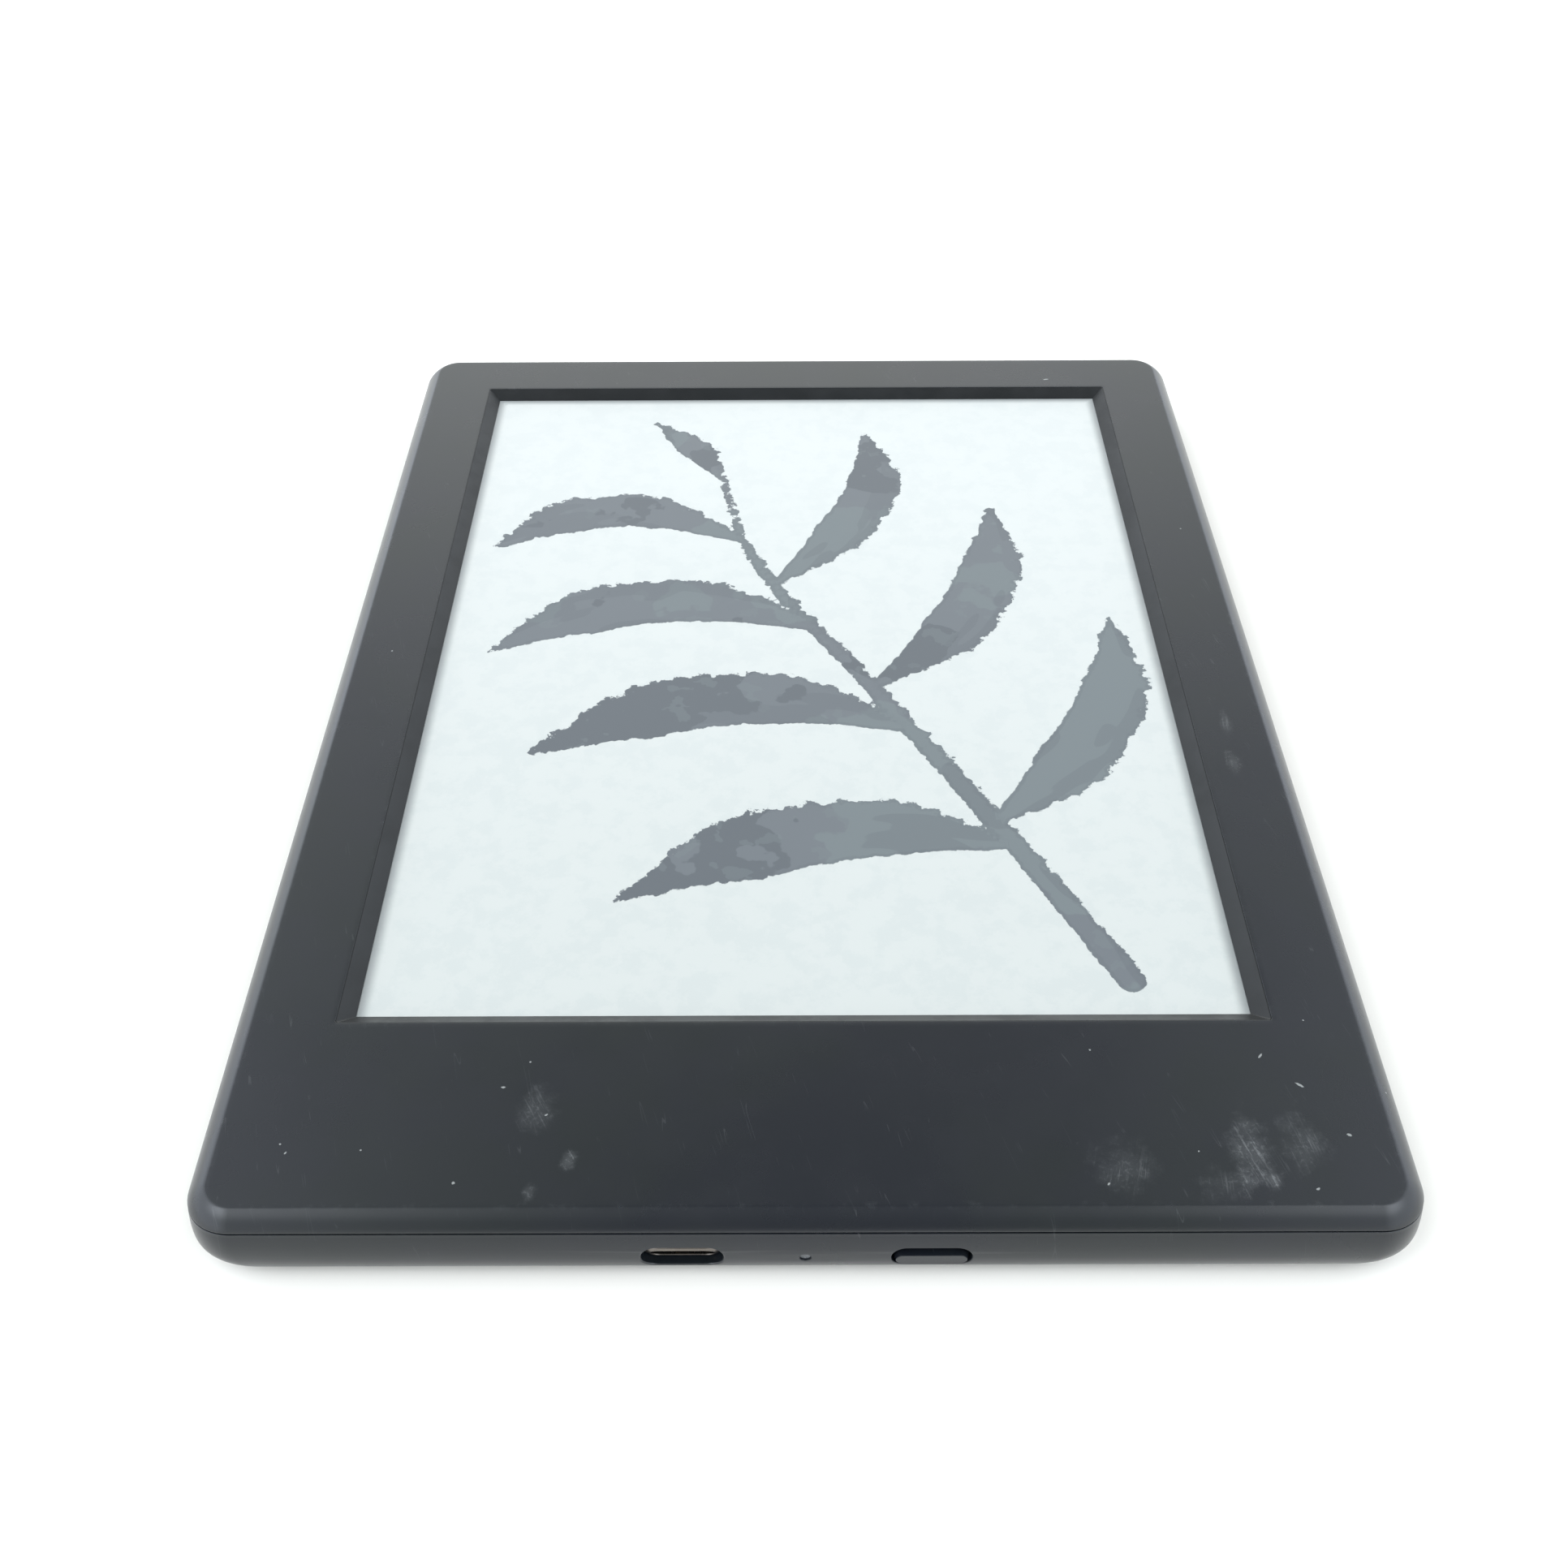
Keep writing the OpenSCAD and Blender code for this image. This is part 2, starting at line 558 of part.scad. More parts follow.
// Box of width w centred on the button, from y0 to y1, from z0 to z1 about the button's height
module button_box(w, y0, y1, z0, z1) {
    box([button_x - w / 2, y0, fitting_z + z0], [button_x + w / 2, y1, fitting_z + z1]);
}
module switch_body() {
    color(chip_black) difference() {
        button_box(switch_w, switch_y, switch_y + switch_d, -0.9, board_bottom - fitting_z);
        button_box(2.9, switch_y - 1, switch_y + 1, -0.55, 0.55);
        button_box(4.2, switch_y + 0.7, switch_y + 2.4, -0.7, 0.7);
    }
}
module switch_plunger() {
    color([0.9, 0.9, 0.88]) {
        button_box(2.7, plunger_y, switch_y + 0.8, -0.45, 0.45);
        button_box(3.6, switch_y + 0.8, switch_y + 1.1, -0.5, 0.5);
    }
}
module switch_dome() {
    rise = 0.35;
    path = [for (i = [-8:8]) [i * 0.25, switch_y + 2.3 - rise * pow(cos(i * 90 / 8), 2) - 0.1]];
    color(tin) slab(fitting_z - 0.5, fitting_z + 0.5) translate([button_x, 0]) polygon(strip(path, 0.1));
}

// ---- Battery ----
module battery_cell() {
    color([0.72, 0.73, 0.74]) {
        slab(cell_top - cell_h, cell_top) translate([0, cell_y0 + cell_l / 2]) rounded(cell_w, cell_l, 2);
        box([-cell_w / 2 + 2, cell_y0 - 3.2, cell_top - 1.6],
            [cell_w / 2 - 2, cell_y0 + 0.1, cell_top - 1.3]);
    }
}
module battery_board() {
    color(board_green) box([-18, cell_y0 - 3.4, cell_top - 1.25], [18, cell_y0 - 0.4, cell_top - 0.6]);
}
plug_x = 16.5;
plug_z = board_bottom - 0.7;
module battery_wires() {
    y0 = cell_y0 - 3.52;
    y1 = board_y1 - 0.78;
    z0 = cell_top - 0.95;
    steps = 10;
    color([0.7, 0.1, 0.08]) for (k = [-1:1])
        tube([for (i = [0:steps]) let(f = i / steps, s = (1 - cos(180 * f)) / 2)
            [plug_x - 6 + 1.3 * k + 6 * s, y0 + (y1 - y0) * f, z0 + (plug_z - z0) * s]], wire_r);
}
module battery_plug() {
    color([0.95, 0.95, 0.92])
        box([plug_x - 2.3, board_y1 - 3.9, plug_z - 0.6], [plug_x + 2.3, board_y1 - 0.9, plug_z + 0.6]);
}
module battery_socket() {
    color([0.9, 0.88, 0.8]) difference() {
        box([plug_x - 3, board_y1 - 5, board_bottom - 1.4], [plug_x + 3, board_y1 - 1.4, board_bottom]);
        box([plug_x - 2.35, board_y1 - 3.95, board_bottom - 1.5],
            [plug_x + 2.35, board_y1, board_bottom - 0.05]);
    }
}
module battery_tape() {
    color([0.9, 0.9, 0.9]) slab(cell_top, frame_bottom) translate([0, cell_y0 + cell_l / 2])
        square([36, 44], center = true);
}
module rear_foam_pad() {
    color([0.16, 0.16, 0.17]) slab(wall, cell_top - cell_h) translate([0, cell_y0 + cell_l / 2])
        rounded(34, 40, 2);
}

front_bezel();
rear_cover();
ir_light_guide();
touch_board();
ir_emitters();
ir_detectors();
touch_flex();
touch_connector();
touch_controller();
display_front_sheet();
display_backplane();
display_driver();
display_flex();
display_connector();
connector_latch();
display_tape();
midframe();
midframe_screws();
main_board();
board_screws();
shield_frame();
shield_lid();
processor();
memory_chip();
storage_chip();
power_chip();
power_inductors();
board_capacitors();
clock_crystal();
wireless_module();
wireless_shield();
antenna();
antenna_contact();
usb_shell();
usb_tongue();
usb_contacts();
charge_led();
light_pipe();
power_button();
switch_body();
switch_plunger();
switch_dome();
battery_cell();
battery_board();
battery_wires();
battery_plug();
battery_socket();
battery_tape();
rear_foam_pad();
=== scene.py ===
"""Looks of a six-inch e-reader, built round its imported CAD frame.

Lengths are written in millimetres and turned into metres as meshes are made. The reader lies on its
back with +Z up, and its socket edge faces -Y.
"""

import json
import logging
import math
from dataclasses import dataclass, field

import bmesh
import bpy
import numpy as np
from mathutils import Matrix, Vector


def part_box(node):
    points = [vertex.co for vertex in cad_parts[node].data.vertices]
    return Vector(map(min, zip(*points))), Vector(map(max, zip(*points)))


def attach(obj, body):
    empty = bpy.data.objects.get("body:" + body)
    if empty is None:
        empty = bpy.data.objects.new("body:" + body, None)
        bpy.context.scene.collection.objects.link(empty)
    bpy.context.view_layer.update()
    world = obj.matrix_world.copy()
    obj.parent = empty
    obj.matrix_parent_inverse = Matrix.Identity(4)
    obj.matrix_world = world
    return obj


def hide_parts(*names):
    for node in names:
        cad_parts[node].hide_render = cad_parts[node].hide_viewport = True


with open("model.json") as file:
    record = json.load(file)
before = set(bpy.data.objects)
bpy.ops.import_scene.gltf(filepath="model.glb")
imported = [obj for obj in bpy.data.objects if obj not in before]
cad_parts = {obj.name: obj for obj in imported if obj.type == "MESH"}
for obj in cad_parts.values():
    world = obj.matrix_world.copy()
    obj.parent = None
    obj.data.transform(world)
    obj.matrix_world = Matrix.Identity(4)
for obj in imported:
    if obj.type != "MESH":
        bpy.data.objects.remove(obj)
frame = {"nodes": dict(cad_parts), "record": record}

LOG = logging.getLogger("reader")
MM = 0.001
BODY = "body"
Rgb = tuple[float, float, float]


# ---------------------------------------------------------------- shapes


def node_box(node: str) -> tuple[np.ndarray, np.ndarray]:
    """Box of a CAD node in millimetres.

    Args:
        node: the CAD node's name.

    Returns:
        Its lowest and highest corners.
    """
    low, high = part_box(node)
    return np.array(low) / MM, np.array(high) / MM


@dataclass(frozen=True)
class RoundRect:
    """A rectangle with round corners, lying flat: centre, half sizes and corner radius."""

    half_w: float
    half_l: float
    radius: float
    centre_x: float = 0.0
    centre_y: float = 0.0

    def inset(
        self, distance: float, radius: float | None = None, sideways: float | None = None
    ) -> "RoundRect":
        """The same rectangle drawn in.

        Args:
            distance: how far the near and far sides move in.
            radius: the new corner radius, or None to shrink it by the mean of both distances.
            sideways: how far the left and right sides move in, or None for the same distance.

        Returns:
            The smaller rectangle.
        """
        across = distance if sideways is None else sideways
        smaller = max(self.radius - (distance + across) / 2, 0.02) if radius is None else radius
        return RoundRect(
            self.half_w - across, self.half_l - distance, smaller, self.centre_x, self.centre_y
        )

    def ring(self, height: float, arc_steps: int = 14, side_steps: int = 4) -> np.ndarray:
        """Points round the rectangle at one height.

        Each corner is a quarter circle about a point one radius in from both sides, and each side is
        the straight line between two quarters, cut into equal steps.

        Args:
            height: z of the ring.
            arc_steps: steps in a quarter circle.
            side_steps: steps along a side.

        Returns:
            An array of shape (points, 3).
        """
        turn = np.linspace(0, math.pi / 2, arc_steps + 1)
        signs = np.array([[1, 1], [-1, 1], [-1, -1], [1, -1]])
        reach = np.array([self.half_w - self.radius, self.half_l - self.radius])
        quarter = np.arange(4)[:, None] * math.pi / 2 + turn[None, :]
        centres = (signs * reach)[:, None, :]
        arcs = centres + self.radius * np.stack([np.cos(quarter), np.sin(quarter)], axis=-1)
        starts, ends = arcs[:, -1, :], np.roll(arcs[:, 0, :], -1, axis=0)
        share = np.linspace(0, 1, side_steps + 1)[1:-1][None, :, None]
        sides = starts[:, None, :] * (1 - share) + ends[:, None, :] * share
        flat = np.concatenate([arcs, sides], axis=1).reshape(-1, 2)
        flat = flat + [self.centre_x, self.centre_y]
        return np.column_stack([flat, np.full(len(flat), height)])


def loft_faces(rings: int, points: int, closed: bool) -> np.ndarray:
    """Quads that join ring after ring of points, as rows of four vertex numbers.

    Args:
        rings: number of rings.
        points: points in each ring.
        closed: True joins the last ring to the first.

    Returns:
        An array of shape (quads, 4).
    """
    along = np.arange(rings if closed else rings - 1)[:, None]
    around = np.arange(points)[None, :]
    nxt_ring, nxt_point = (along + 1) % rings, (around + 1) % points
    return np.stack(
        [
            along * points + around,
            along * points + nxt_point,
            nxt_ring * points + nxt_point,
            nxt_ring * points + around,
        ],
        axis=-1,
    ).reshape(-1, 4)


@dataclass
class Shell:
    """Vertices and faces gathered for one piece, in millimetres."""

    verts: list[np.ndarray] = field(default_factory=list)
    faces: list[list[int]] = field(default_factory=list)
    edge: list[np.ndarray] = field(default_factory=list)
    count: int = 0

    def loft(
        self, rings: np.ndarray, closed: bool = False, edge: np.ndarray | None = None
    ) -> "Shell":
        """Adds a skin over rings of points.

        Args:
            rings: array of shape (rings, points, 3).
            closed: True joins the last ring to the first; False caps both ends.
            edge: how near each ring is to a worn edge, from 0 to 1.

        Returns:
            The shell itself.
        """
        total, points = rings.shape[:2]
        quads = loft_faces(total, points, closed) + self.count
        self.faces.extend(quads.tolist())
        if not closed:
            self.faces.append(list(range(self.count + points - 1, self.count - 1, -1)))
            last = self.count + (total - 1) * points
            self.faces.append(list(range(last, last + points)))
        self.verts.append(rings.reshape(-1, 3))
        worn = np.zeros(total) if edge is None else np.asarray(edge, float)
        self.edge.append(np.repeat(worn, points))
        self.count += total * points
        return self

    def piece(self, name: str, smooth_deg: float = 40.0) -> bpy.types.Object:
        """Makes the Blender object.

        Args:
            name: the piece's name.
            smooth_deg: edges sharper than this stay crisp.

        Returns:
            The object, with its place in its mesh.
        """
        mesh = bpy.data.meshes.new(name)
        points = np.concatenate(self.verts) * MM
        mesh.from_pydata(points.tolist(), [], self.faces)
        worn = mesh.attributes.new("edge", "FLOAT", "POINT")
        worn.data.foreach_set("value", np.concatenate(self.edge).astype(np.float32))
        tidy = bmesh.new()
        tidy.from_mesh(mesh)
        bmesh.ops.recalc_face_normals(tidy, faces=tidy.faces)
        tidy.to_mesh(mesh)
        tidy.free()
        mesh.shade_smooth()
        mesh.set_sharp_from_angle(angle=math.radians(smooth_deg))
        made = bpy.data.objects.new(name, mesh)
        bpy.context.scene.collection.objects.link(made)
        return made


def fillet(start: np.ndarray, corner: np.ndarray, end: np.ndarray, steps: int = 5) -> np.ndarray:
    """Rounds a corner of a profile.

    The curve is a quadratic one: it leaves start towards the corner and reaches end coming from it.

    Args:
        start: point before the corner.
        corner: the sharp corner.
        end: point after the corner.
        steps: steps along the curve.

    Returns:
        Points from start to end.
    """
    t = np.linspace(0, 1, steps + 1)[:, None]
    return (1 - t) ** 2 * np.array(start) + 2 * t * (1 - t) * np.array(corner) + t**2 * np.array(end)


def slot_ring(width: float, height: float, steps: int = 16) -> np.ndarray:
    """Points round a slot with half-round ends, in X and Z about the origin.

    Args:
        width: full width of the slot.
        height: its full height.
        steps: steps in each half circle.

    Returns:
        An array of shape (points, 2).
    """
    half = math.pi * np.arange(steps + 1) / steps
    right = np.column_stack([np.sin(half), -np.cos(half)]) * height / 2 + [(width - height) / 2, 0]
    left = np.column_stack([-np.sin(half), np.cos(half)]) * height / 2 - [(width - height) / 2, 0]
    return np.concatenate([right, left])


def standing_slot(x: float, floor: float, width: float, height: float, y: float) -> np.ndarray:
    """Points round a slot that stands on its floor height at one depth."""
    flat = slot_ring(width, height)
    return np.column_stack([flat[:, 0] + x, np.full(len(flat), y), flat[:, 1] + floor + height / 2])


# ---------------------------------------------------------------- body sizes


@dataclass(frozen=True)
class BodyForm:
    """Driving sizes of the case, taken from the CAD boxes and the same formulas."""

    corner_radius: float = 5.0
    back_radius: float = 7.3
    under_run: float = 4.3
    under_top: float = 4.4
    under_power: float = 2.3
    shoulder_run: float = 2.1
    shoulder_turn: float = math.radians(42)
    side_step: float = 0.5
    side_step_across: float = 0.12
    side_power: float = 2.0
    seam_gap: float = 0.14
    seam_drop: float = 0.06
    wall: float = 1.2
    top_wall: float = 0.8

    @property
    def outline(self) -> RoundRect:
        """Outline of the body seen from above."""
        low, high = node_box("rear_cover")
        return RoundRect((high[0] - low[0]) / 2, (high[1] - low[1]) / 2, self.corner_radius)

    def under_inset(self, height: np.ndarray) -> np.ndarray:
        """How far the underside runs in at a height: a quarter of a superellipse."""
        drop = np.clip(1 - height / self.under_top, 0, 1)
        return self.under_run * (1 - (1 - drop**self.under_power) ** (1 / self.under_power))

    def back_corner(self, height: float) -> float:
        """Corner radius of the outline at a height, growing towards the back."""
        drop = min(max(1 - height / self.under_top, 0), 1)
        return self.corner_radius + (self.back_radius - self.corner_radius) * drop**2


FORM = BodyForm()


@dataclass(frozen=True)
class Fittings:
    """Sizes of the near edge's openings and of what stands in them: width, then height."""

    height: float = 3.9
    socket_hole: tuple[float, float] = (7.6, 3.1)
    socket_shell: tuple[float, float] = (7.2, 2.7)
    button_hole: tuple[float, float] = (7.5, 2.9)
    button_cap: tuple[float, float] = (7.06, 2.46)
    light_hole: tuple[float, float] = (1.08, 1.06)
    flares: tuple[float, float, float] = (0.22, 0.12, 0.08)
    cut_depth: float = 3.0


FITTINGS = Fittings()


@dataclass(frozen=True)
class Picture:
    """The picture area, from the display's CAD boxes."""

    side: float = 1.7

    @property
    def rect(self) -> RoundRect:
        """Picture rectangle, with hardly any corner radius.

        Returns:
            The rectangle.
        """
        low, high = node_box("display_front_sheet")
        return RoundRect(
            (high[0] - low[0]) / 2 - self.side,
            (high[1] - low[1]) / 2 - self.side,
            0.05,
            (high[0] + low[0]) / 2,
            (high[1] + low[1]) / 2,
        )


PICTURE = Picture()


# ---------------------------------------------------------------- shader help


class Graph:
    """Short ways to place and join shader nodes in one tree."""

    def __init__(self, tree: bpy.types.NodeTree) -> None:
        """Keeps the tree that nodes are placed in."""
        self.tree = tree

    def put(self, value: object, socket: bpy.types.NodeSocket) -> None:
        """Links a socket or sets a plain value.

        Args:
            value: a socket, or a value that the input can hold.
            socket: the input.
        """
        if isinstance(value, bpy.types.NodeSocket):
            self.tree.links.new(value, socket)
        else:
            socket.default_value = value

    def node(self, kind: str, inputs: dict | None = None, **settings: object) -> bpy.types.Node:
        """Places a node.

        Args:
            kind: the node's type name without its ShaderNode prefix.
            inputs: values or sockets by input name or number.
            **settings: the node's own settings.

        Returns:
            The node.
        """
        made = self.tree.nodes.new("ShaderNode" + kind)
        for key, value in settings.items():
            setattr(made, key, value)
        for key, value in (inputs or {}).items():
            self.put(value, made.inputs[key])
        return made

    def math(self, operation: str, a: object, b: object = 0.0, c: object = 0.0) -> bpy.types.NodeSocket:
        """Result of a math node on up to three numbers."""
        return self.node("Math", {0: a, 1: b, 2: c}, operation=operation).outputs[0]

    def between(
        self, value: object, low: float, high: float, to_low: float = 0.0, to_high: float = 1.0
    ) -> bpy.types.NodeSocket:
        """Maps a value smoothly from one range to another and holds it at the ends."""
        inputs = {"Value": value, "From Min": low, "From Max": high, "To Min": to_low, "To Max": to_high}
        return self.node("MapRange", inputs, interpolation_type="SMOOTHSTEP").outputs["Result"]

    def mix(self, share: object, a: object, b: object) -> bpy.types.NodeSocket:
        """Blend of two colours, each a socket or a plain triple.

        Args:
            share: how much of the second colour, from 0 to 1.
            a: the first colour.
            b: the second colour.

        Returns:
            The blend's socket.
        """
        made = self.node("Mix", data_type="RGBA")
        self.put(share, made.inputs[0])
        for value, index in ((a, 6), (b, 7)):
            self.put((*value, 1.0) if isinstance(value, tuple) else value, made.inputs[index])
        return made.outputs[2]

    def noise(self, vector: object, scale: float, detail: float = 3.0, rough: float = 0.55) -> object:
        """Noise value at a place."""
        inputs = {"Vector": vector, "Scale": scale, "Detail": detail, "Roughness": rough}
        return self.node("TexNoise", inputs).outputs["Fac"]

    def place(self) -> bpy.types.NodeSocket:
        """Object coordinates, in metres."""
        return self.node("TexCoord").outputs["Object"]

    def moved(
        self, vector: object, shift: Rgb = (0, 0, 0), turn: Rgb = (0, 0, 0), scale: Rgb = (1, 1, 1)
    ) -> bpy.types.NodeSocket:
        """A vector through a Mapping node."""
        inputs = {"Vector": vector, "Location": shift, "Rotation": turn, "Scale": scale}
        return self.node("Mapping", inputs).outputs[0]

    def relief(
        self, shader: bpy.types.Node, height: object, strength: float, depth_mm: float
    ) -> None:
        """Feeds a height through a Bump node into the shader's normal."""
        inputs = {"Height": height, "Strength": strength, "Distance": depth_mm * MM}
        self.put(self.node("Bump", inputs).outputs[0], shader.inputs["Normal"])

    def turned(self, start: bpy.types.Node) -> bpy.types.NodeSocket:
        """A group's Place input turned about Z by its Angle input."""
        turn = self.node("CombineXYZ", {"Z": start.outputs["Angle"]}).outputs[0]
        return self.node("Mapping", {"Vector": start.outputs["Place"], "Rotation": turn}).outputs[0]

    def group(self, made: bpy.types.NodeTree, **inputs: object) -> bpy.types.Node:
        """Places a node group, with underscores in input names standing for spaces.

        Args:
            made: the node group.
            **inputs: values or sockets by input name.

        Returns:
            The placed node.
        """
        placed = self.tree.nodes.new("ShaderNodeGroup")
        placed.node_tree = made
        for key, value in inputs.items():
            self.put(value, placed.inputs[key.replace("_", " ")])
        return placed


def new_group(name: str, numbers: dict[str, float], outputs: list[str]) -> tuple:
    """Starts a node group with a Place input, number inputs and number outputs.

    Args:
        name: the group's name.
        numbers: input names with their usual values.
        outputs: output names.

    Returns:
        The tree, its Graph, the input node and the output node.
    """
    tree = bpy.data.node_groups.new(name, "ShaderNodeTree")
    tree.interface.new_socket("Place", in_out="INPUT", socket_type="NodeSocketVector")
    for key, value in numbers.items():
        socket = tree.interface.new_socket(key, in_out="INPUT", socket_type="NodeSocketFloat")
        socket.default_value = value
    for key in outputs:
        tree.interface.new_socket(key, in_out="OUTPUT", socket_type="NodeSocketFloat")
    start = tree.nodes.new("NodeGroupInput")
    end = tree.nodes.new("NodeGroupOutput")
    return tree, Graph(tree), start, end


class Effects:
    """Node groups that more than one finish uses, each built once."""

    def __init__(self) -> None:
        """Builds every group."""
        self.grain = self._grain()
        self.dust = self._dust()
        self.scratches = self._scratches()
        self.smears = self._smears()
        self.scuffs = self._scuffs()
        self.streaks = self._streaks()

    def _grain(self) -> bpy.types.NodeTree:
        """Fine moulded grain: small round pits over a softer unevenness.

        Returns:
            The node group.
        """
        tree, g, start, end = new_group("moulded_grain", {"Scale": 5000.0}, ["Height", "Mottle"])
        place, scale = start.outputs["Place"], start.outputs["Scale"]
        pits = g.node("TexVoronoi", {"Vector": place, "Scale": scale}, feature="SMOOTH_F1").outputs[0]
        soft = g.noise(place, 0.0, 2.0)
        g.put(g.math("MULTIPLY", scale, 0.31), soft.node.inputs["Scale"])
        g.put(g.math("MULTIPLY_ADD", soft, 0.5, pits), end.inputs["Height"])
        g.put(g.noise(place, 45.0, 4.0, 0.6), end.inputs["Mottle"])
        return tree

    def _dust(self) -> bpy.types.NodeTree:
        """Specks of dust: a few cells in many hold a small dot, rounder or longer from cell to cell.

        Returns:
            The node group.
        """
        tree, g, start, end = new_group("dust", {"Cells": 260.0, "Share": 0.3, "Size": 0.05}, ["Mask"])
        place, cells = start.outputs["Place"], start.outputs["Cells"]
        warp = g.node("TexNoise", {"Vector": place, "Scale": 900.0, "Detail": 2.0})
        bent = g.node("VectorMath", {0: warp.outputs["Color"], "Scale": 0.0006}, operation="SCALE")
        moved = g.node("VectorMath", {0: place, 1: bent.outputs[0]}, operation="ADD").outputs[0]
        dots = g.node("TexVoronoi", {"Vector": moved, "Scale": cells}, feature="F1")
        picked = g.node("SeparateColor", {"Color": dots.outputs["Color"]})
        size = g.math("MULTIPLY", start.outputs["Size"], g.math("POWER", picked.outputs[1], 2.0))
        near = g.math("SUBTRACT", 1.0, g.math("DIVIDE", dots.outputs["Distance"], g.math("ADD", size, 0.004)))
        some = g.math("LESS_THAN", picked.outputs[0], start.outputs["Share"])
        shape = g.math("MULTIPLY", g.between(near, 0.0, 0.5), some)
        g.put(shape, end.inputs["Mask"])
        return tree

    def _scratches(self) -> bpy.types.NodeTree:
        """Hairline scratches: thin ridges of a stretched, bent noise, broken along their length.

        Returns:
            The node group.
        """
        tree, g, start, end = new_group("scratches", {"Angle": 0.6, "Fine": 0.012}, ["Mask"])
        turned = g.turned(start)
        long = g.moved(turned, scale=(60.0, 900.0, 60.0))
        line = g.math("ABSOLUTE", g.math("SUBTRACT", g.noise(long, 1.0, 1.0), 0.5))
        thin = g.math("LESS_THAN", line, start.outputs["Fine"])
        broken = g.between(g.noise(g.moved(turned, scale=(220.0, 500.0, 220.0)), 1.0, 2.0), 0.58, 0.66)
        g.put(g.math("MULTIPLY", thin, broken), end.inputs["Mask"])
        return tree

    def _smears(self) -> bpy.types.NodeTree:
        """Wiped fingerprints: soft patches of changed gloss.

        Returns:
            The node group.
        """
        tree, g, start, end = new_group("smears", {"Scale": 60.0}, ["Mask"])
        noise = g.noise(start.outputs["Place"], 0.0, 5.0, 0.65)
        g.put(start.outputs["Scale"], noise.node.inputs["Scale"])
        g.put(g.between(noise, 0.42, 0.68), end.inputs["Mask"])
        return tree

    def _scuffs(self) -> bpy.types.NodeTree:
        """A rubbed spot: short fine lines over a faint haze, fading out from the spot's middle.

        Returns:
            The node group.
        """
        sizes = {"X": 0.0, "Y": 0.0, "Width": 0.006, "Length": 0.005, "Angle": 0.3}
        tree, g, start, end = new_group("scuffs", sizes, ["Mask"])
        place = g.node("SeparateXYZ", {0: start.outputs["Place"]})
        u, v = (
            g.math("DIVIDE", g.math("SUBTRACT", place.outputs[k], start.outputs[middle]), start.outputs[size])
            for k, middle, size in ((0, "X", "Width"), (1, "Y", "Length"))
        )
        away = g.math("SQRT", g.math("ADD", g.math("MULTIPLY", u, u), g.math("MULTIPLY", v, v)))
        patchy = g.noise(start.outputs["Place"], 330.0, 5.0, 0.7)
        near = g.between(g.math("MULTIPLY_ADD", patchy, 2.6, away), 2.35, 1.2)
        turned = g.turned(start)
        fine = g.noise(g.moved(turned, scale=(2600.0, 150.0, 150.0)), 1.0, 4.0, 0.75)
        lines = g.between(fine, 0.54, 0.66)
        spots = g.between(g.noise(start.outputs["Place"], 2300.0, 4.0, 0.7), 0.52, 0.64)
        haze = g.math("MULTIPLY_ADD", spots, 0.32, g.math("MULTIPLY_ADD", lines, 0.50, 0.18))
        g.put(g.math("MULTIPLY", near, haze), end.inputs["Mask"])
        return tree

    def _streaks(self) -> bpy.types.NodeTree:
        """Brushed streaks: noise stretched many times along one direction.

        Returns:
            The node group.
        """
        tree, g, start, end = new_group("brushed_streaks", {"Scale": 2500.0, "Angle": 0.0}, ["Height"])
        turned = g.turned(start)
        noise = g.noise(g.moved(turned, scale=(0.03, 1.0, 1.0)), 0.0, 3.0, 0.6)
        g.put(start.outputs["Scale"], noise.node.inputs["Scale"])
        g.put(noise, end.inputs["Height"])
        return tree


def new_material(name: str) -> tuple[bpy.types.Material, Graph, bpy.types.Node]:
    """Starts a material.

    Args:
        name: the material's name.

    Returns:
        The material, its Graph and its Principled shader.
    """
    made = bpy.data.materials.new(name)
    made.use_nodes = True
    return made, Graph(made.node_tree), made.node_tree.nodes["Principled BSDF"]


def dress(piece: bpy.types.Object, material: bpy.types.Material) -> None:
    """Gives a piece one material."""
    piece.data.materials.clear()
    piece.data.materials.append(material)


# ---------------------------------------------------------------- finishes


@dataclass(frozen=True)
class Rub:
    """A rubbed spot on the front: its middle and half sizes in millimetres, its angle and strength."""

    x: float
    y: float
    width: float
    length: float
    angle: float = -0.28
    strength: float = 0.3


@dataclass(frozen=True)
class Speck:
    """A crumb of dust on the front: its middle and half size in millimetres, its angle and its length."""

    x: float
    y: float
    size: float
    angle: float = 0.0
    stretch: float = 1.0


FRONT_RUBS = (
    Rub(42.0, -72.4, 2.8, 5.0, -0.30, 0.42),
    Rub(46.6, -71.2, 2.6, 4.2, -0.20, 0.24),
    Rub(29.6, -73.8, 3.4, 3.6, 0.25, 0.22),
    Rub(38.8, -75.6, 3.4, 2.2, 0.1, 0.18),
    Rub(43.2, -75.4, 0.9, 1.2, -0.30, 0.40),
    Rub(-25.6, -66.6, 2.2, 3.4, -0.5, 0.22),
    Rub(-22.0, -73.0, 1.0, 1.4, -0.5, 0.45),
    Rub(-25.4, -76.4, 1.0, 1.6, -0.4, 0.32),
    Rub(50.4, -17.4, 1.1, 3.4, 0.1, 0.30),
    Rub(50.9, -10.0, 0.8, 2.6, 0.1, 0.22),
)
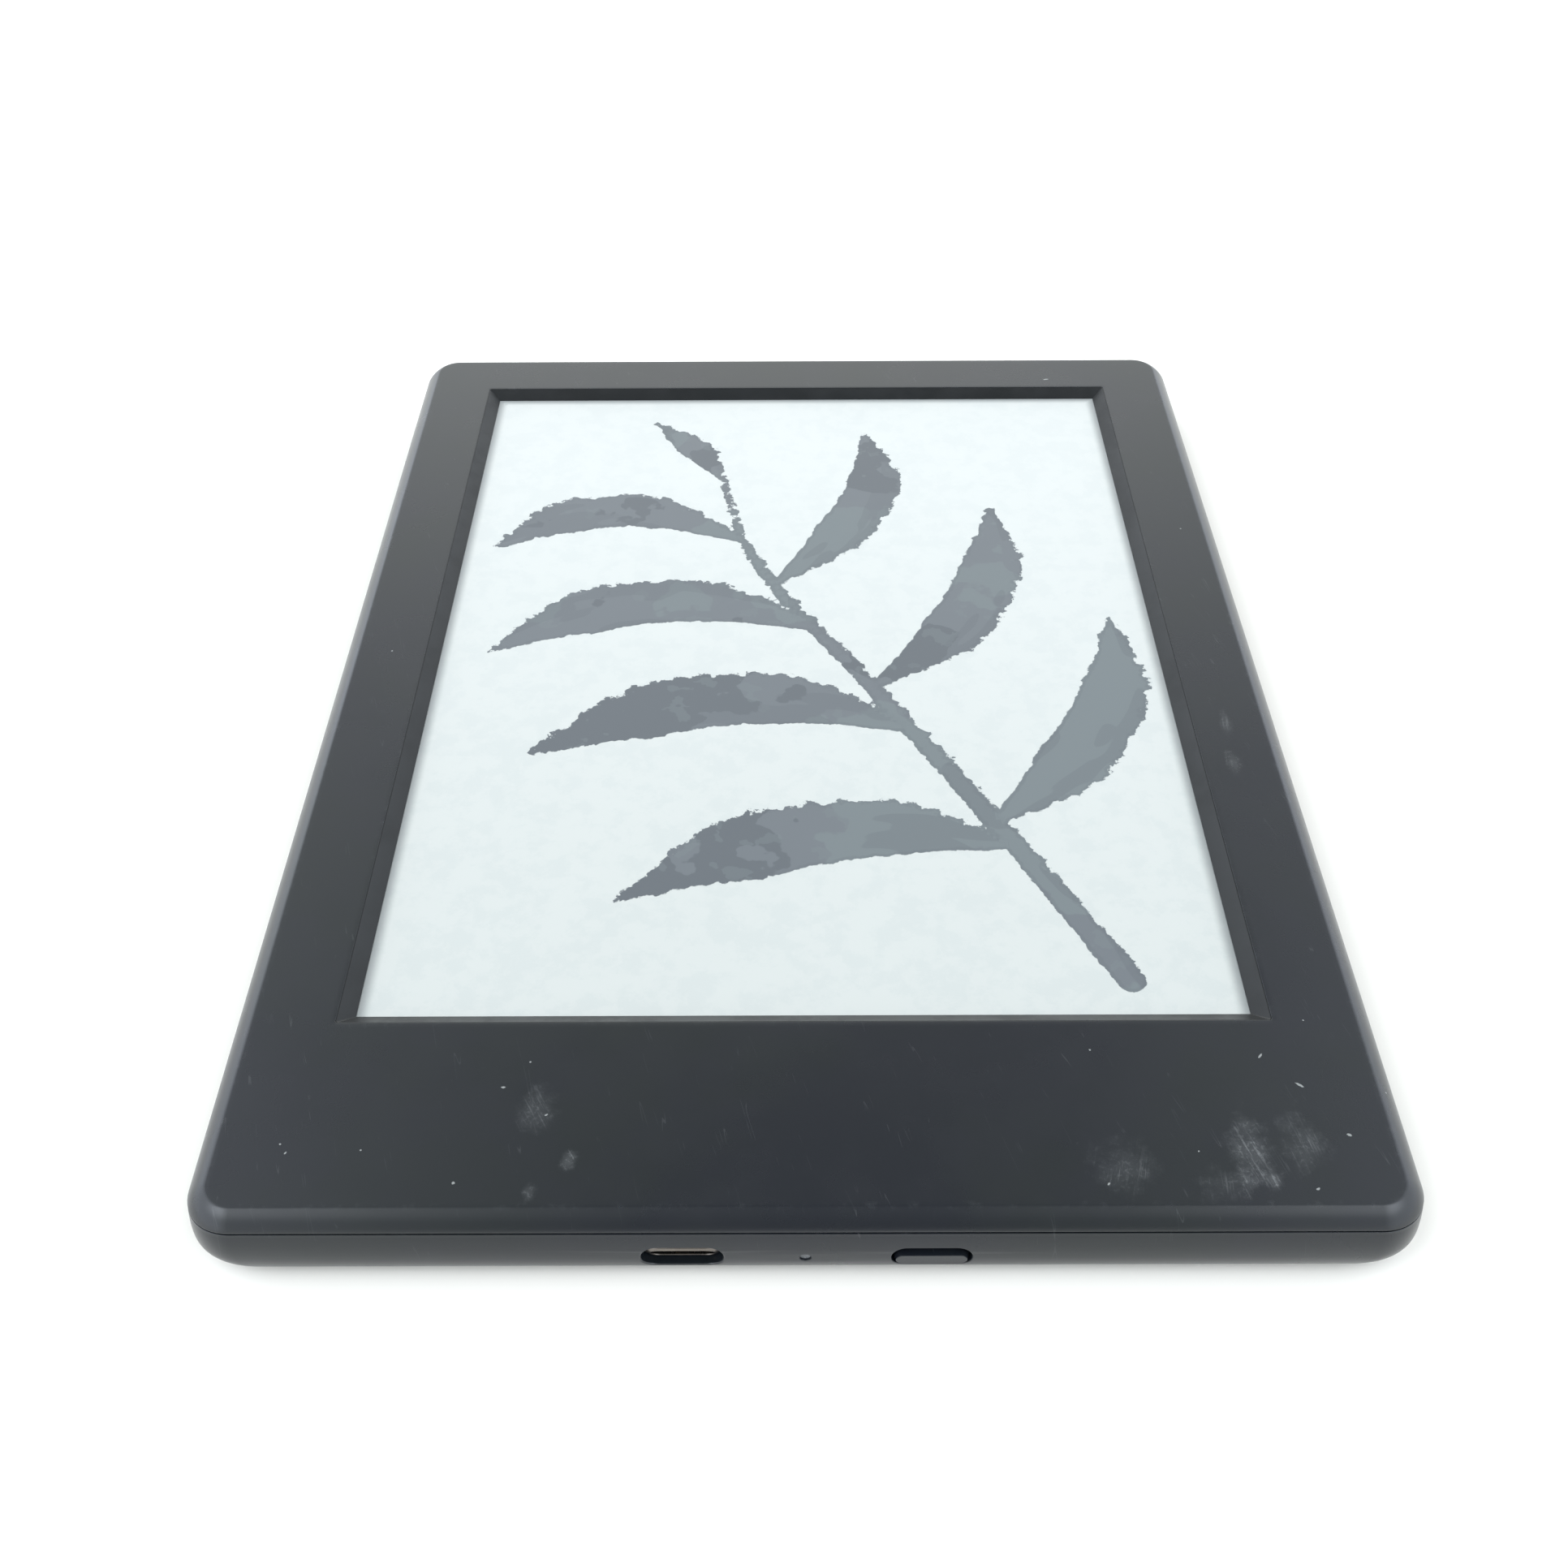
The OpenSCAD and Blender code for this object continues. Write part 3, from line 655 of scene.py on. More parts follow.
FRONT_SPECKS = (
    Speck(-29.1, -64.3, 0.13, 0.0, 2.0),
    Speck(-32.4, -75.3, 0.17),
    Speck(-26.8, -61.2, 0.11),
    Speck(-24.6, -67.6, 0.10, 0.6, 2.0),
    Speck(-41.6, -71.6, 0.10),
    Speck(-49.3, -70.9, 0.11),
    Speck(-48.6, -71.9, 0.09, 1.0, 2.0),
    Speck(28.2, -59.9, 0.12),
    Speck(44.8, -60.7, 0.12, 0.9, 3.0),
    Speck(47.9, -64.3, 0.15, -0.7, 3.2),
    Speck(51.3, -70.2, 0.16, -0.3, 1.8),
    Speck(50.0, -56.2, 0.10),
    Speck(36.8, -72.0, 0.10),
    Speck(47.0, -76.2, 0.13, 0.5, 1.6),
    Speck(27.9, -75.6, 0.10, 0.9, 2.0),
    Speck(56.2, -64.9, 0.10),
    Speck(38.5, 71.9, 0.16, 0.2, 3.0),
    Speck(-51.2, 4.4, 0.13),
    Speck(52.4, 31.0, 0.12),
)


@dataclass(frozen=True)
class CasePlastic:
    """Dark matte moulded plastic with fine grain, dust, rubbed spots and wiped smears."""

    name: str
    colour: Rgb = (0.0068, 0.0092, 0.0104)
    cool: Rgb = (0.0072, 0.0088, 0.0122)
    worn: Rgb = (0.045, 0.049, 0.052)
    chalk: Rgb = (0.30, 0.31, 0.31)
    roughness: float = 0.275
    grain: float = 0.006
    dust_share: float = 0.03
    rubs: tuple[Rub, ...] = ()
    specks: tuple[Speck, ...] = ()

    def build(self, effects: Effects) -> bpy.types.Material:
        """Builds the material from the shared effects.

        Args:
            effects: the shared node groups.

        Returns:
            The material.
        """
        made, g, shader = new_material(self.name)
        place = g.place()
        grain = g.group(effects.grain, Place=place, Scale=6500.0)
        smear = g.group(effects.smears, Place=place, Scale=48.0).outputs["Mask"]
        base = g.mix(g.between(grain.outputs["Mottle"], 0.36, 0.64), self.colour, self.cool)
        edge = g.node("Attribute", attribute_name="edge").outputs["Fac"]
        rub = g.math("MULTIPLY", edge, g.between(g.noise(place, 700.0, 5.0, 0.7), 0.5, 0.72, 0.0, 0.35))
        base = g.mix(rub, base, self.worn)
        marks: object = 0.0
        for spot in self.rubs:
            scuff = g.group(
                effects.scuffs,
                Place=place,
                X=spot.x * MM,
                Y=spot.y * MM,
                Width=spot.width * MM,
                Length=spot.length * MM,
                Angle=spot.angle,
            )
            marks = g.math("MULTIPLY_ADD", scuff.outputs["Mask"], spot.strength, marks)
        base = g.mix(marks, base, self.chalk)
        hair = g.group(effects.scratches, Place=place, Angle=1.3, Fine=0.006).outputs["Mask"]
        base = g.mix(g.math("MULTIPLY", hair, 0.05), base, self.chalk)
        dust = g.group(effects.dust, Place=place, Cells=240.0, Share=self.dust_share, Size=0.03)
        crumbs = g.math("MULTIPLY", dust.outputs["Mask"], 0.5)
        for speck in self.specks:
            crumbs = g.math("MAXIMUM", crumbs, self.crumb(g, place, speck))
        base = g.mix(g.math("MULTIPLY", crumbs, 0.8), base, (0.25, 0.26, 0.25))
        g.put(base, shader.inputs["Base Color"])
        rough = g.math("MULTIPLY_ADD", smear, -0.035, self.roughness + 0.02)
        rough = g.math("MULTIPLY_ADD", marks, 0.4, rough)
        g.put(g.math("MULTIPLY_ADD", rub, -0.08, rough), shader.inputs["Roughness"])
        height = g.math("MULTIPLY_ADD", crumbs, 3.0, grain.outputs["Height"])
        height = g.math("MULTIPLY_ADD", marks, -0.6, height)
        g.relief(shader, height, 0.3, self.grain)
        return made

    def crumb(self, g: Graph, place: bpy.types.NodeSocket, speck: Speck) -> bpy.types.NodeSocket:
        """Mask of one crumb: an ellipse with a wavering outline.

        Args:
            g: the material's Graph.
            place: Object coordinates.
            speck: the crumb.

        Returns:
            The mask's socket.
        """
        local = g.moved(place, shift=(-speck.x * MM, -speck.y * MM, 0.0))
        size = 1 / (speck.size * MM)
        local = g.moved(g.moved(local, turn=(0, 0, -speck.angle)), scale=(size / speck.stretch, size, 0.0))
        length = g.node("VectorMath", {0: local}, operation="LENGTH").outputs["Value"]
        waver = g.noise(place, 7000.0, 2.0)
        return g.between(g.math("MULTIPLY_ADD", waver, 0.9, length), 1.5, 1.1)


@dataclass(frozen=True)
class PlainFinish:
    """A small part's finish: a colour with mottling and a light moulded texture."""

    name: str
    colour: Rgb
    roughness: float = 0.5
    grain_scale: float = 3000.0
    grain: float = 0.01
    mottle: float = 0.25
    specular: float = 0.5

    def build(self, effects: Effects) -> bpy.types.Material:
        """Builds the material from the shared effects.

        Args:
            effects: the shared node groups.

        Returns:
            The material.
        """
        made, g, shader = new_material(self.name)
        place = g.place()
        grain = g.group(effects.grain, Place=place, Scale=self.grain_scale)
        smear = g.group(effects.smears, Place=place, Scale=180.0).outputs["Mask"]
        darker = tuple(c * (1 - self.mottle) for c in self.colour)
        spread = g.between(grain.outputs["Mottle"], 0.35, 0.65)
        g.put(g.mix(spread, self.colour, darker), shader.inputs["Base Color"])
        g.put(g.math("MULTIPLY_ADD", smear, 0.1, self.roughness), shader.inputs["Roughness"])
        shader.inputs["Specular IOR Level"].default_value = self.specular
        g.relief(shader, grain.outputs["Height"], 0.3, self.grain)
        return made


@dataclass(frozen=True)
class Metal:
    """Sheet or cast metal with brushed streaks, smears and a little tarnish."""

    name: str
    colour: Rgb
    roughness: float = 0.3
    tarnish: Rgb = (0.25, 0.23, 0.20)
    streak_scale: float = 9000.0
    angle: float = 0.0
    grain: float = 0.004

    def build(self, effects: Effects) -> bpy.types.Material:
        """Builds the material from the shared effects.

        Args:
            effects: the shared node groups.

        Returns:
            The material.
        """
        made, g, shader = new_material(self.name)
        place = g.place()
        streaks = g.group(effects.streaks, Place=place, Scale=self.streak_scale, Angle=self.angle)
        smear = g.group(effects.smears, Place=place, Scale=240.0).outputs["Mask"]
        base = g.mix(g.math("MULTIPLY", smear, 0.22), self.colour, self.tarnish)
        g.put(base, shader.inputs["Base Color"])
        rough = g.math("MULTIPLY_ADD", streaks.outputs["Height"], 0.16, self.roughness - 0.08)
        g.put(g.math("MULTIPLY_ADD", smear, 0.08, rough), shader.inputs["Roughness"])
        shader.inputs["Metallic"].default_value = 1.0
        g.relief(shader, streaks.outputs["Height"], 0.4, self.grain)
        return made


@dataclass(frozen=True)
class Clear:
    """Clear or tinted moulded resin, with flow lines inside."""

    name: str
    colour: Rgb = (0.9, 0.92, 0.93)
    roughness: float = 0.12
    transmission: float = 0.6

    def build(self, effects: Effects) -> bpy.types.Material:
        """Builds the material.

        Args:
            effects: the shared node groups; not used.

        Returns:
            The material.
        """
        made, g, shader = new_material(self.name)
        place = g.place()
        flow = g.noise(g.moved(place, scale=(1.0, 0.3, 1.0)), 2400.0, 3.0)
        darker = tuple(c * 0.8 for c in self.colour)
        g.put(g.mix(g.between(flow, 0.3, 0.7), self.colour, darker), shader.inputs["Base Color"])
        g.put(g.math("MULTIPLY_ADD", flow, 0.08, self.roughness), shader.inputs["Roughness"])
        shader.inputs["Transmission Weight"].default_value = self.transmission
        g.relief(shader, flow, 0.2, 0.01)
        return made


@dataclass(frozen=True)
class BoardFinish:
    """Circuit board or flexible film: lacquer over fine straight tracks and round vias."""

    name: str
    lacquer: Rgb = (0.012, 0.06, 0.035)
    track: Rgb = (0.03, 0.13, 0.07)
    via: Rgb = (0.55, 0.42, 0.20)
    pitch: float = 0.7
    via_share: float = 0.12

    def build(self, effects: Effects) -> bpy.types.Material:
        """Builds the material; tracks run along X or Y, changing from patch to patch.

        Args:
            effects: the shared node groups.

        Returns:
            The material.
        """
        made, g, shader = new_material(self.name)
        place = g.place()
        parts = g.node("SeparateXYZ", {0: place})
        patch = g.node("TexVoronoi", {"Vector": place, "Scale": 110.0}, distance="CHEBYCHEV")
        turn = g.math("GREATER_THAN", g.node("SeparateColor", {0: patch.outputs["Color"]}).outputs[0], 0.5)
        across = g.node("Mix", {0: turn, 2: parts.outputs[0], 3: parts.outputs[1]}, data_type="FLOAT")
        wave = g.math("FRACT", g.math("MULTIPLY", across.outputs[0], 1 / (self.pitch * MM)))
        line = g.between(g.math("ABSOLUTE", g.math("SUBTRACT", wave, 0.5)), 0.22, 0.16)
        dots = g.node("TexVoronoi", {"Vector": place, "Scale": 620.0, "Randomness": 0.6})
        picked = g.node("SeparateColor", {0: dots.outputs["Color"]}).outputs[1]
        hole = g.math(
            "MULTIPLY",
            g.between(dots.outputs["Distance"], 0.24, 0.18),
            g.math("LESS_THAN", picked, self.via_share),
        )
        base = g.mix(line, self.lacquer, self.track)
        base = g.mix(hole, base, self.via)
        g.put(base, shader.inputs["Base Color"])
        grain = g.group(effects.grain, Place=place, Scale=4000.0).outputs["Mottle"]
        g.put(g.math("MULTIPLY_ADD", grain, 0.2, 0.22), shader.inputs["Roughness"])
        g.put(g.math("MULTIPLY", hole, 0.9), shader.inputs["Metallic"])
        height = g.math("SUBTRACT", line, g.math("MULTIPLY", hole, 0.5))
        g.relief(shader, height, 0.4, 0.02)
        return made


@dataclass(frozen=True)
class Crinkled:
    """Foil, foam or tape: a colour over a folded or cellular relief."""

    name: str
    colour: Rgb
    roughness: float = 0.4
    metallic: float = 0.0
    scale: float = 300.0
    depth: float = 0.08
    cellular: bool = False

    def build(self, effects: Effects) -> bpy.types.Material:
        """Builds the material from the shared effects.

        Args:
            effects: the shared node groups.

        Returns:
            The material.
        """
        made, g, shader = new_material(self.name)
        place = g.place()
        if self.cellular:
            relief = g.node("TexVoronoi", {"Vector": place, "Scale": self.scale}).outputs["Distance"]
        else:
            relief = g.math("ABSOLUTE", g.math("SUBTRACT", g.noise(place, self.scale, 4.0), 0.5))
        smear = g.group(effects.smears, Place=place, Scale=90.0).outputs["Mask"]
        darker = tuple(c * 0.7 for c in self.colour)
        g.put(g.mix(smear, self.colour, darker), shader.inputs["Base Color"])
        g.put(g.math("MULTIPLY_ADD", smear, 0.12, self.roughness), shader.inputs["Roughness"])
        shader.inputs["Metallic"].default_value = self.metallic
        g.relief(shader, relief, 0.6, self.depth)
        return made


@dataclass(frozen=True)
class WireFinish:
    """Insulated leads side by side: red, white and black by their place across."""

    name: str
    split: tuple[float, float] = (0.0, 1.0)
    colours: tuple[Rgb, Rgb, Rgb] = ((0.45, 0.02, 0.02), (0.7, 0.7, 0.66), (0.02, 0.02, 0.02))

    def build(self, effects: Effects) -> bpy.types.Material:
        """Builds the material, with the leads' colours in equal bands across.

        Args:
            effects: the shared node groups.

        Returns:
            The material.
        """
        made, g, shader = new_material(self.name)
        place = g.place()
        x = g.node("SeparateXYZ", {0: place}).outputs[0]
        low, high = (v * MM for v in self.split)
        first = g.math("GREATER_THAN", x, low + (high - low) / 3)
        second = g.math("GREATER_THAN", x, low + (high - low) * 2 / 3)
        base = g.mix(first, self.colours[0], self.colours[1])
        base = g.mix(second, base, self.colours[2])
        grain = g.group(effects.grain, Place=place, Scale=5000.0)
        dull = g.math("MULTIPLY", grain.outputs["Mottle"], 0.2)
        g.put(g.mix(dull, base, (0.2, 0.2, 0.2)), shader.inputs["Base Color"])
        g.put(g.math("MULTIPLY_ADD", grain.outputs["Mottle"], 0.2, 0.3), shader.inputs["Roughness"])
        g.relief(shader, grain.outputs["Height"], 0.2, 0.01)
        return made


@dataclass(frozen=True)
class InkFilm:
    """Paper-like display film with a brushed leaf sprig in a few flat greys."""

    name: str = "ink_film"
    paper: Rgb = (0.435, 0.450, 0.425)
    shade: Rgb = (0.370, 0.396, 0.382)
    ink: Rgb = (0.104, 0.116, 0.125)
    dark_ink: Rgb = (0.078, 0.088, 0.097)
    pale_ink: Rgb = (0.116, 0.135, 0.139)
    # Dark grey of the painted shadow that the frame casts along the picture's edges.
    painted_frame_shadow: Rgb = (0.050, 0.058, 0.064)
    roughness: float = 0.42
    # Strength of the painted sheen: how far the paper is lightened towards white at the far side.
    painted_sheen: float = 0.10

    def build(self, effects: Effects) -> bpy.types.Material:
        """Builds the material from the film's stroke attributes.

        Ink lies where the distance inside a stroke, made ragged by noise, is above zero. Dry parts of
        a stroke are broken by streaks along it, and its tone falls into three flat steps. The paper is
        painted lighter towards the far side as a painted sheen, and near the picture's left, right and
        far edges the film is painted darker as a painted shadow of the frame.

        Args:
            effects: the shared node groups.

        Returns:
            The material.
        """
        made, g, shader = new_material(self.name)
        place = g.place()
        inside = g.node("Attribute", attribute_name="inside").outputs["Fac"]
        dry = g.node("Attribute", attribute_name="dry").outputs["Fac"]
        brush = g.node("Attribute", attribute_name="stroke").outputs["Vector"]
        ragged = g.math("SUBTRACT", g.noise(place, 520.0, 6.0, 0.68), 0.5)
        side = g.node("SeparateXYZ", {0: brush}).outputs[1]
        wide = g.math("MULTIPLY_ADD", dry, 5.0, g.between(side, 1.0, -3.0, 0.9, 3.4))
        depth = g.math("MULTIPLY_ADD", ragged, wide, inside)
        holes = g.between(g.noise(place, 900.0, 5.0, 0.7), 0.52, 0.60)
        bare = g.math("MULTIPLY", holes, g.between(dry, 0.3, 0.95, 0.0, 5.0))
        depth = g.math("SUBTRACT", depth, bare)
        mask = g.between(depth, -0.06, 0.06)
        wash = g.noise(place, 42.0, 5.0, 0.5)
        tone = g.mix(g.between(wash, 0.54, 0.55), self.ink, self.pale_ink)
        tone = g.mix(g.between(wash, 0.445, 0.44), tone, self.dark_ink)
        fleck = g.between(g.noise(place, 300.0, 3.0, 0.5), 0.61, 0.62)
        tone = g.mix(g.math("MULTIPLY", fleck, 0.4), tone, self.pale_ink)
        pool = g.between(g.noise(g.moved(brush, scale=(0.05, 0.16, 1.0)), 1.0, 2.0), 0.55, 0.56)
        tone = g.mix(g.math("MULTIPLY", pool, 0.35), tone, self.dark_ink)
        rim = g.math("MULTIPLY", g.between(depth, 0.55, 0.35), 0.3)
        tone = g.mix(rim, tone, self.dark_ink)
        cloud = g.math("MULTIPLY", g.between(g.noise(place, 330.0, 5.0, 0.7), 0.44, 0.60), 0.35)
        paper = g.mix(g.math("MULTIPLY", cloud, 0.9), self.paper, self.shade)
        # Painted sheen: the paper is mixed towards white from the near side to the far side, standing in for
        # the film's brighter reflection there.
        y = g.node("SeparateXYZ", {0: place}).outputs[1]
        painted_sheen = g.math("MULTIPLY", g.between(y, -60 * MM, 60 * MM), self.painted_sheen)
        paper = g.mix(painted_sheen, paper, (1.0, 1.0, 1.0))
        # Painted shadow of the frame: within 1.5 mm of the picture's left, right and far edges the film, ink
        # included, is darkened towards a dark grey.
        border = g.node("Attribute", attribute_name="border").outputs["Fac"]
        shaded = g.math("MULTIPLY", g.between(border, 1.5, 0.0), 0.62)
        base = g.mix(shaded, g.mix(mask, paper, tone), self.painted_frame_shadow)
        g.put(base, shader.inputs["Base Color"])
        smear = g.group(effects.smears, Place=place, Scale=42.0).outputs["Mask"]
        g.put(g.math("MULTIPLY_ADD", smear, 0.06, self.roughness), shader.inputs["Roughness"])
        grain = g.group(effects.grain, Place=place, Scale=9000.0).outputs["Height"]
        g.relief(shader, grain, 0.15, 0.004)
        return made


# ---------------------------------------------------------------- case


@dataclass
class FrontBezel:
    """The front frame: flat face, sloped shoulder, window and the lip inside the rear cover."""

    seam_round: float = 0.10
    crease_round: float = 0.16
    window_round: float = 0.07
    lip_drop: float = 0.9

    def profile(self, step: float) -> np.ndarray:
        """Edge of the shoulder from the seam to the crease, as rows of inset and height.

        The shoulder is a circular arc from the seam to the crease that turns through shoulder_turn;
        both ends are rounded off.

        Args:
            step: inset at the seam.

        Returns:
            An array of shape (points, 2).
        """
        high = node_box("front_bezel")[1]
        seam, top = node_box("rear_cover")[1][2] + FORM.seam_gap, high[2]
        p, q = np.array([step, seam]), np.array([FORM.shoulder_run, top])
        chord = q - p
        first = math.atan2(chord[1], chord[0]) + FORM.shoulder_turn / 2
        radius = np.linalg.norm(chord) / (2 * math.sin(FORM.shoulder_turn / 2))
        centre = p - radius * np.array([-math.sin(first), math.cos(first)])
        heading = first - np.linspace(0, FORM.shoulder_turn, 19)
        arc = centre + radius * np.column_stack([-np.sin(heading), np.cos(heading)])
        foot = fillet(p + [self.seam_round, 0], p, arc[1])
        crease = fillet(arc[-2], q, q + [self.crease_round, 0], 6)
        return np.concatenate([foot, arc[2:-2], crease])

    def build(self) -> bpy.types.Object:
        """Builds the frame as one closed shell round the window.

        Returns:
            The frame.
        """
        top = node_box("front_bezel")[1][2]
        under = top - FORM.top_wall
        outline, window = FORM.outline, PICTURE.rect.inset(-1.65, 0.3)
        edge, edge_across = self.profile(FORM.side_step), self.profile(FORM.side_step_across)
        seam = edge[0][1]
        rings = [
            outline.inset(d, None, across).ring(z) for (d, z), (across, _) in zip(edge, edge_across)
        ]
        worn = list(np.clip(1 - np.abs(edge[:, 1] - top) / 0.25, 0, 1) * 0.8)
        rings.append(outline.inset(FORM.shoulder_run + 0.6).ring(top))
        worn.append(0.0)
        r = self.window_round
        for d, z in np.concatenate([[[-0.6, top]], fillet([-r, top], [0, top], [0, top - r])]):
            rings.append(window.inset(d, 0.3 - d).ring(z))
            worn.append(0.6 if d > -0.5 else 0.0)
        rings.append(window.ring(under))
        seam_shelf = seam + 0.55
        inner = [
            (FORM.shoulder_run + 0.2, under),
            (FORM.shoulder_run + 0.2, seam_shelf),
            (FORM.wall + 1.0, seam_shelf - 0.05),
            (FORM.wall + 1.0, seam - 0.04 - self.lip_drop),
            (FORM.wall + 0.2, seam - 0.04 - self.lip_drop),
            (FORM.wall + 0.2, seam_shelf),
            (FORM.wall + 0.05, seam_shelf),
            (FORM.wall + 0.05, seam),
        ]
        rings.extend(outline.inset(d).ring(z) for d, z in inner)
        worn.extend([0.0] * (len(rings) - len(worn)))
        return Shell().loft(np.array(rings), closed=True, edge=np.array(worn)).piece("front_frame")


@dataclass
class RearCover:
    """The back tray with its curved underside and the three openings in its near edge."""

    rim_round: float = 0.08
    steps: int = 26

    def outer(self) -> tuple[list[np.ndarray], list[float]]:
        """Rings of the outside, from the middle of the back up to the rim, with their wear.

        Returns:
            The rings, and how near each one is to a worn edge.
        """
        outline = FORM.outline
        top = node_box("rear_cover")[1][2] - FORM.seam_drop
        flat = outline.inset(FORM.under_run, FORM.back_radius)
        rings = [flat.inset(d, max(FORM.back_radius - d, 0.5)).ring(0.0) for d in (40.0, 8.0, 0.8)]
        lean = np.linspace(0, math.pi / 2, self.steps + 1)
        for z in FORM.under_top * (1 - np.cos(lean)):
            inset = float(FORM.under_inset(np.array(z)))
            rings.append(outline.inset(inset, FORM.back_corner(z)).ring(z))
        r = self.rim_round
        step, across = FORM.side_step, FORM.side_step_across
        for t in np.linspace(0.0, 1.0, 10)[1:]:
            share = t**FORM.side_power
            z = FORM.under_top + (top - r - FORM.under_top) * t
            rings.append(outline.inset(step * share, None, across * share).ring(z))
        for d, z in fillet([0.0, top - r], [0.0, top], [r, top]):
            rings.append(outline.inset(step + d, None, across + d).ring(z))
        worn = [0.0] * (len(rings) - 6) + [0.5] * 6
        return rings, worn

    def build(self) -> bpy.types.Object:
        """Builds the tray as a closed shell and cuts its openings.

        Returns:
            The tray.
        """
        rings, worn = self.outer()
        outline, top = FORM.outline, node_box("rear_cover")[1][2] - FORM.seam_drop
        inner = [(FORM.wall, top), (FORM.wall, FORM.under_top), (1.75, 2.8), (2.5, 1.9), (4.2, 1.2)]
        rings.extend(outline.inset(d, 4.0).ring(z) for d, z in inner)
        rings.append(outline.inset(40.0, 4.0).ring(1.2))
        worn.extend([0.0] * (len(rings) - len(worn)))
        made = Shell().loft(np.array(rings), edge=np.array(worn)).piece("back_tray")
        for cutter in self.cutters():
            cut = made.modifiers.new("opening", "BOOLEAN")
            cut.operation, cut.solver, cut.object = "DIFFERENCE", "EXACT", cutter
        apply_modifiers(made)
        return made

    def cutters(self) -> list[bpy.types.Object]:
        """Solids that cut the socket mouth, the button slot and the light hole, flared at the face.

        Each is a stack of slots along Y. Near the face the slot grows by a quarter-round flare, and
        the flare's depth is counted from the curved face at each point's own height.

        Returns:
            One solid for each opening.
        """
        nodes = ("usb_shell", "power_button", "light_pipe")
        holes = (FITTINGS.socket_hole, FITTINGS.button_hole, FITTINGS.light_hole)
        height = FITTINGS.height
        near = -FORM.outline.half_l
        made = []
        for node, (width, tall), flare in zip(nodes, holes, FITTINGS.flares):
            low, high = node_box(node)
            x = (low[0] + high[0]) / 2
            lean = np.linspace(0, math.pi / 2, 7)
            path = [(flare * (1 - math.sin(a)), flare * (1 - math.cos(a))) for a in lean]
            rings = []
            for grow, depth in [(flare, -FITTINGS.cut_depth)] + path:
                flat = slot_ring(width + 2 * grow, tall + 2 * grow)
                z = flat[:, 1] + height
                y = near + FORM.under_inset(z) + depth
                rings.append(np.column_stack([flat[:, 0] + x, y, z]))
            deep = rings[-1].copy()
            deep[:, 1] = near + FITTINGS.cut_depth
            rings.append(deep)
            made.append(Shell().loft(np.array(rings)).piece("cutter"))
        return made


def apply_modifiers(piece: bpy.types.Object) -> None:
    """Bakes a piece's modifiers into its mesh and removes the solids that cut it.

    Args:
        piece: the object to bake.
    """
    used = [m.object for m in piece.modifiers if m.type == "BOOLEAN"]
    graph = bpy.context.evaluated_depsgraph_get()
    baked = bpy.data.meshes.new_from_object(piece.evaluated_get(graph))
    piece.modifiers.clear()
    old, piece.data = piece.data, baked
    bpy.data.meshes.remove(old)
    for cutter in used:
        bpy.data.objects.remove(cutter)
    baked.set_sharp_from_angle(angle=math.radians(40))


# ---------------------------------------------------------------- screen


@dataclass(frozen=True)
class Stroke:
    """One brush stroke of the leaf sprig, in millimetres.

    Attributes:
        path: points that the brush passes.
        widths: half width at each point.
        dry: how dry the brush is at the start and at the end, from 0 to 1.
    """

    path: tuple[tuple[float, float], ...]
    widths: tuple[float, ...]
    dry: tuple[float, float] = (0.0, 0.3)

    def sample(self, steps: int = 90) -> tuple[np.ndarray, np.ndarray, np.ndarray]:
        """Points, half widths and headings along the stroke.

        The path is a Catmull-Rom curve: between two points it is a cubic that leaves each one along
        the line joining that point's neighbours.

        Args:
            steps: how many places along the stroke to work out.

        Returns:
            Points, half widths and unit headings, with a row for each place.
        """
        p = np.array(self.path, float)
        p = np.vstack([2 * p[0] - p[1], p, 2 * p[-1] - p[-2]])
        s = np.linspace(0, len(self.path) - 1, steps)
        i = np.minimum(s.astype(int), len(self.path) - 2)
        t = (s - i)[:, None]
        a, b, c, d = p[i], p[i + 1], p[i + 2], p[i + 3]
        points = 0.5 * (
            2 * b + (c - a) * t + (2 * a - 5 * b + 4 * c - d) * t**2 + (3 * b - a - 3 * c + d) * t**3
        )
        way = np.gradient(points, axis=0)
        way /= np.linalg.norm(way, axis=1)[:, None]
        widths = np.interp(s, np.arange(len(self.widths)), self.widths)
        return points, widths, way


LEAF_SPRIG = (
    Stroke(((34, -50), (22, -26), (8, 0), (-6, 26), (-12, 54)), (1.6, 1.4, 1.2, 0.9, 0.4)),
    Stroke(((24, -30), (10, -27), (-6, -30), (-20, -38)), (0.5, 4.6, 5.2, 0.4)),
    Stroke(((22, -26), (32, -16), (39, -2), (40, 12)), (0.5, 4.4, 4.2, 0.4), (0.0, 0.25)),
    Stroke(((14, -10), (-2, -4), (-18, -6), (-32, -14)), (0.5, 4.8, 5.2, 0.4), (0.0, 0.35)),
    Stroke(((9, -2), (20, 10), (26, 24), (27, 38)), (0.5, 4.2, 4.2, 0.4)),
    Stroke(((3, 10), (-12, 16), (-27, 14), (-39, 6)), (0.5, 4.4, 4.8, 0.4)),
    Stroke(((-3, 20), (6, 32), (11, 45), (10, 58)), (0.5, 3.8, 3.8, 0.4)),
    Stroke(((-7, 30), (-20, 37), (-32, 36), (-41, 29)), (0.5, 3.8, 4.0, 0.4), (0.0, 0.35)),
    Stroke(((-11, 46), (-15, 54), (-21, 61)), (0.4, 2.6, 0.3)),
)


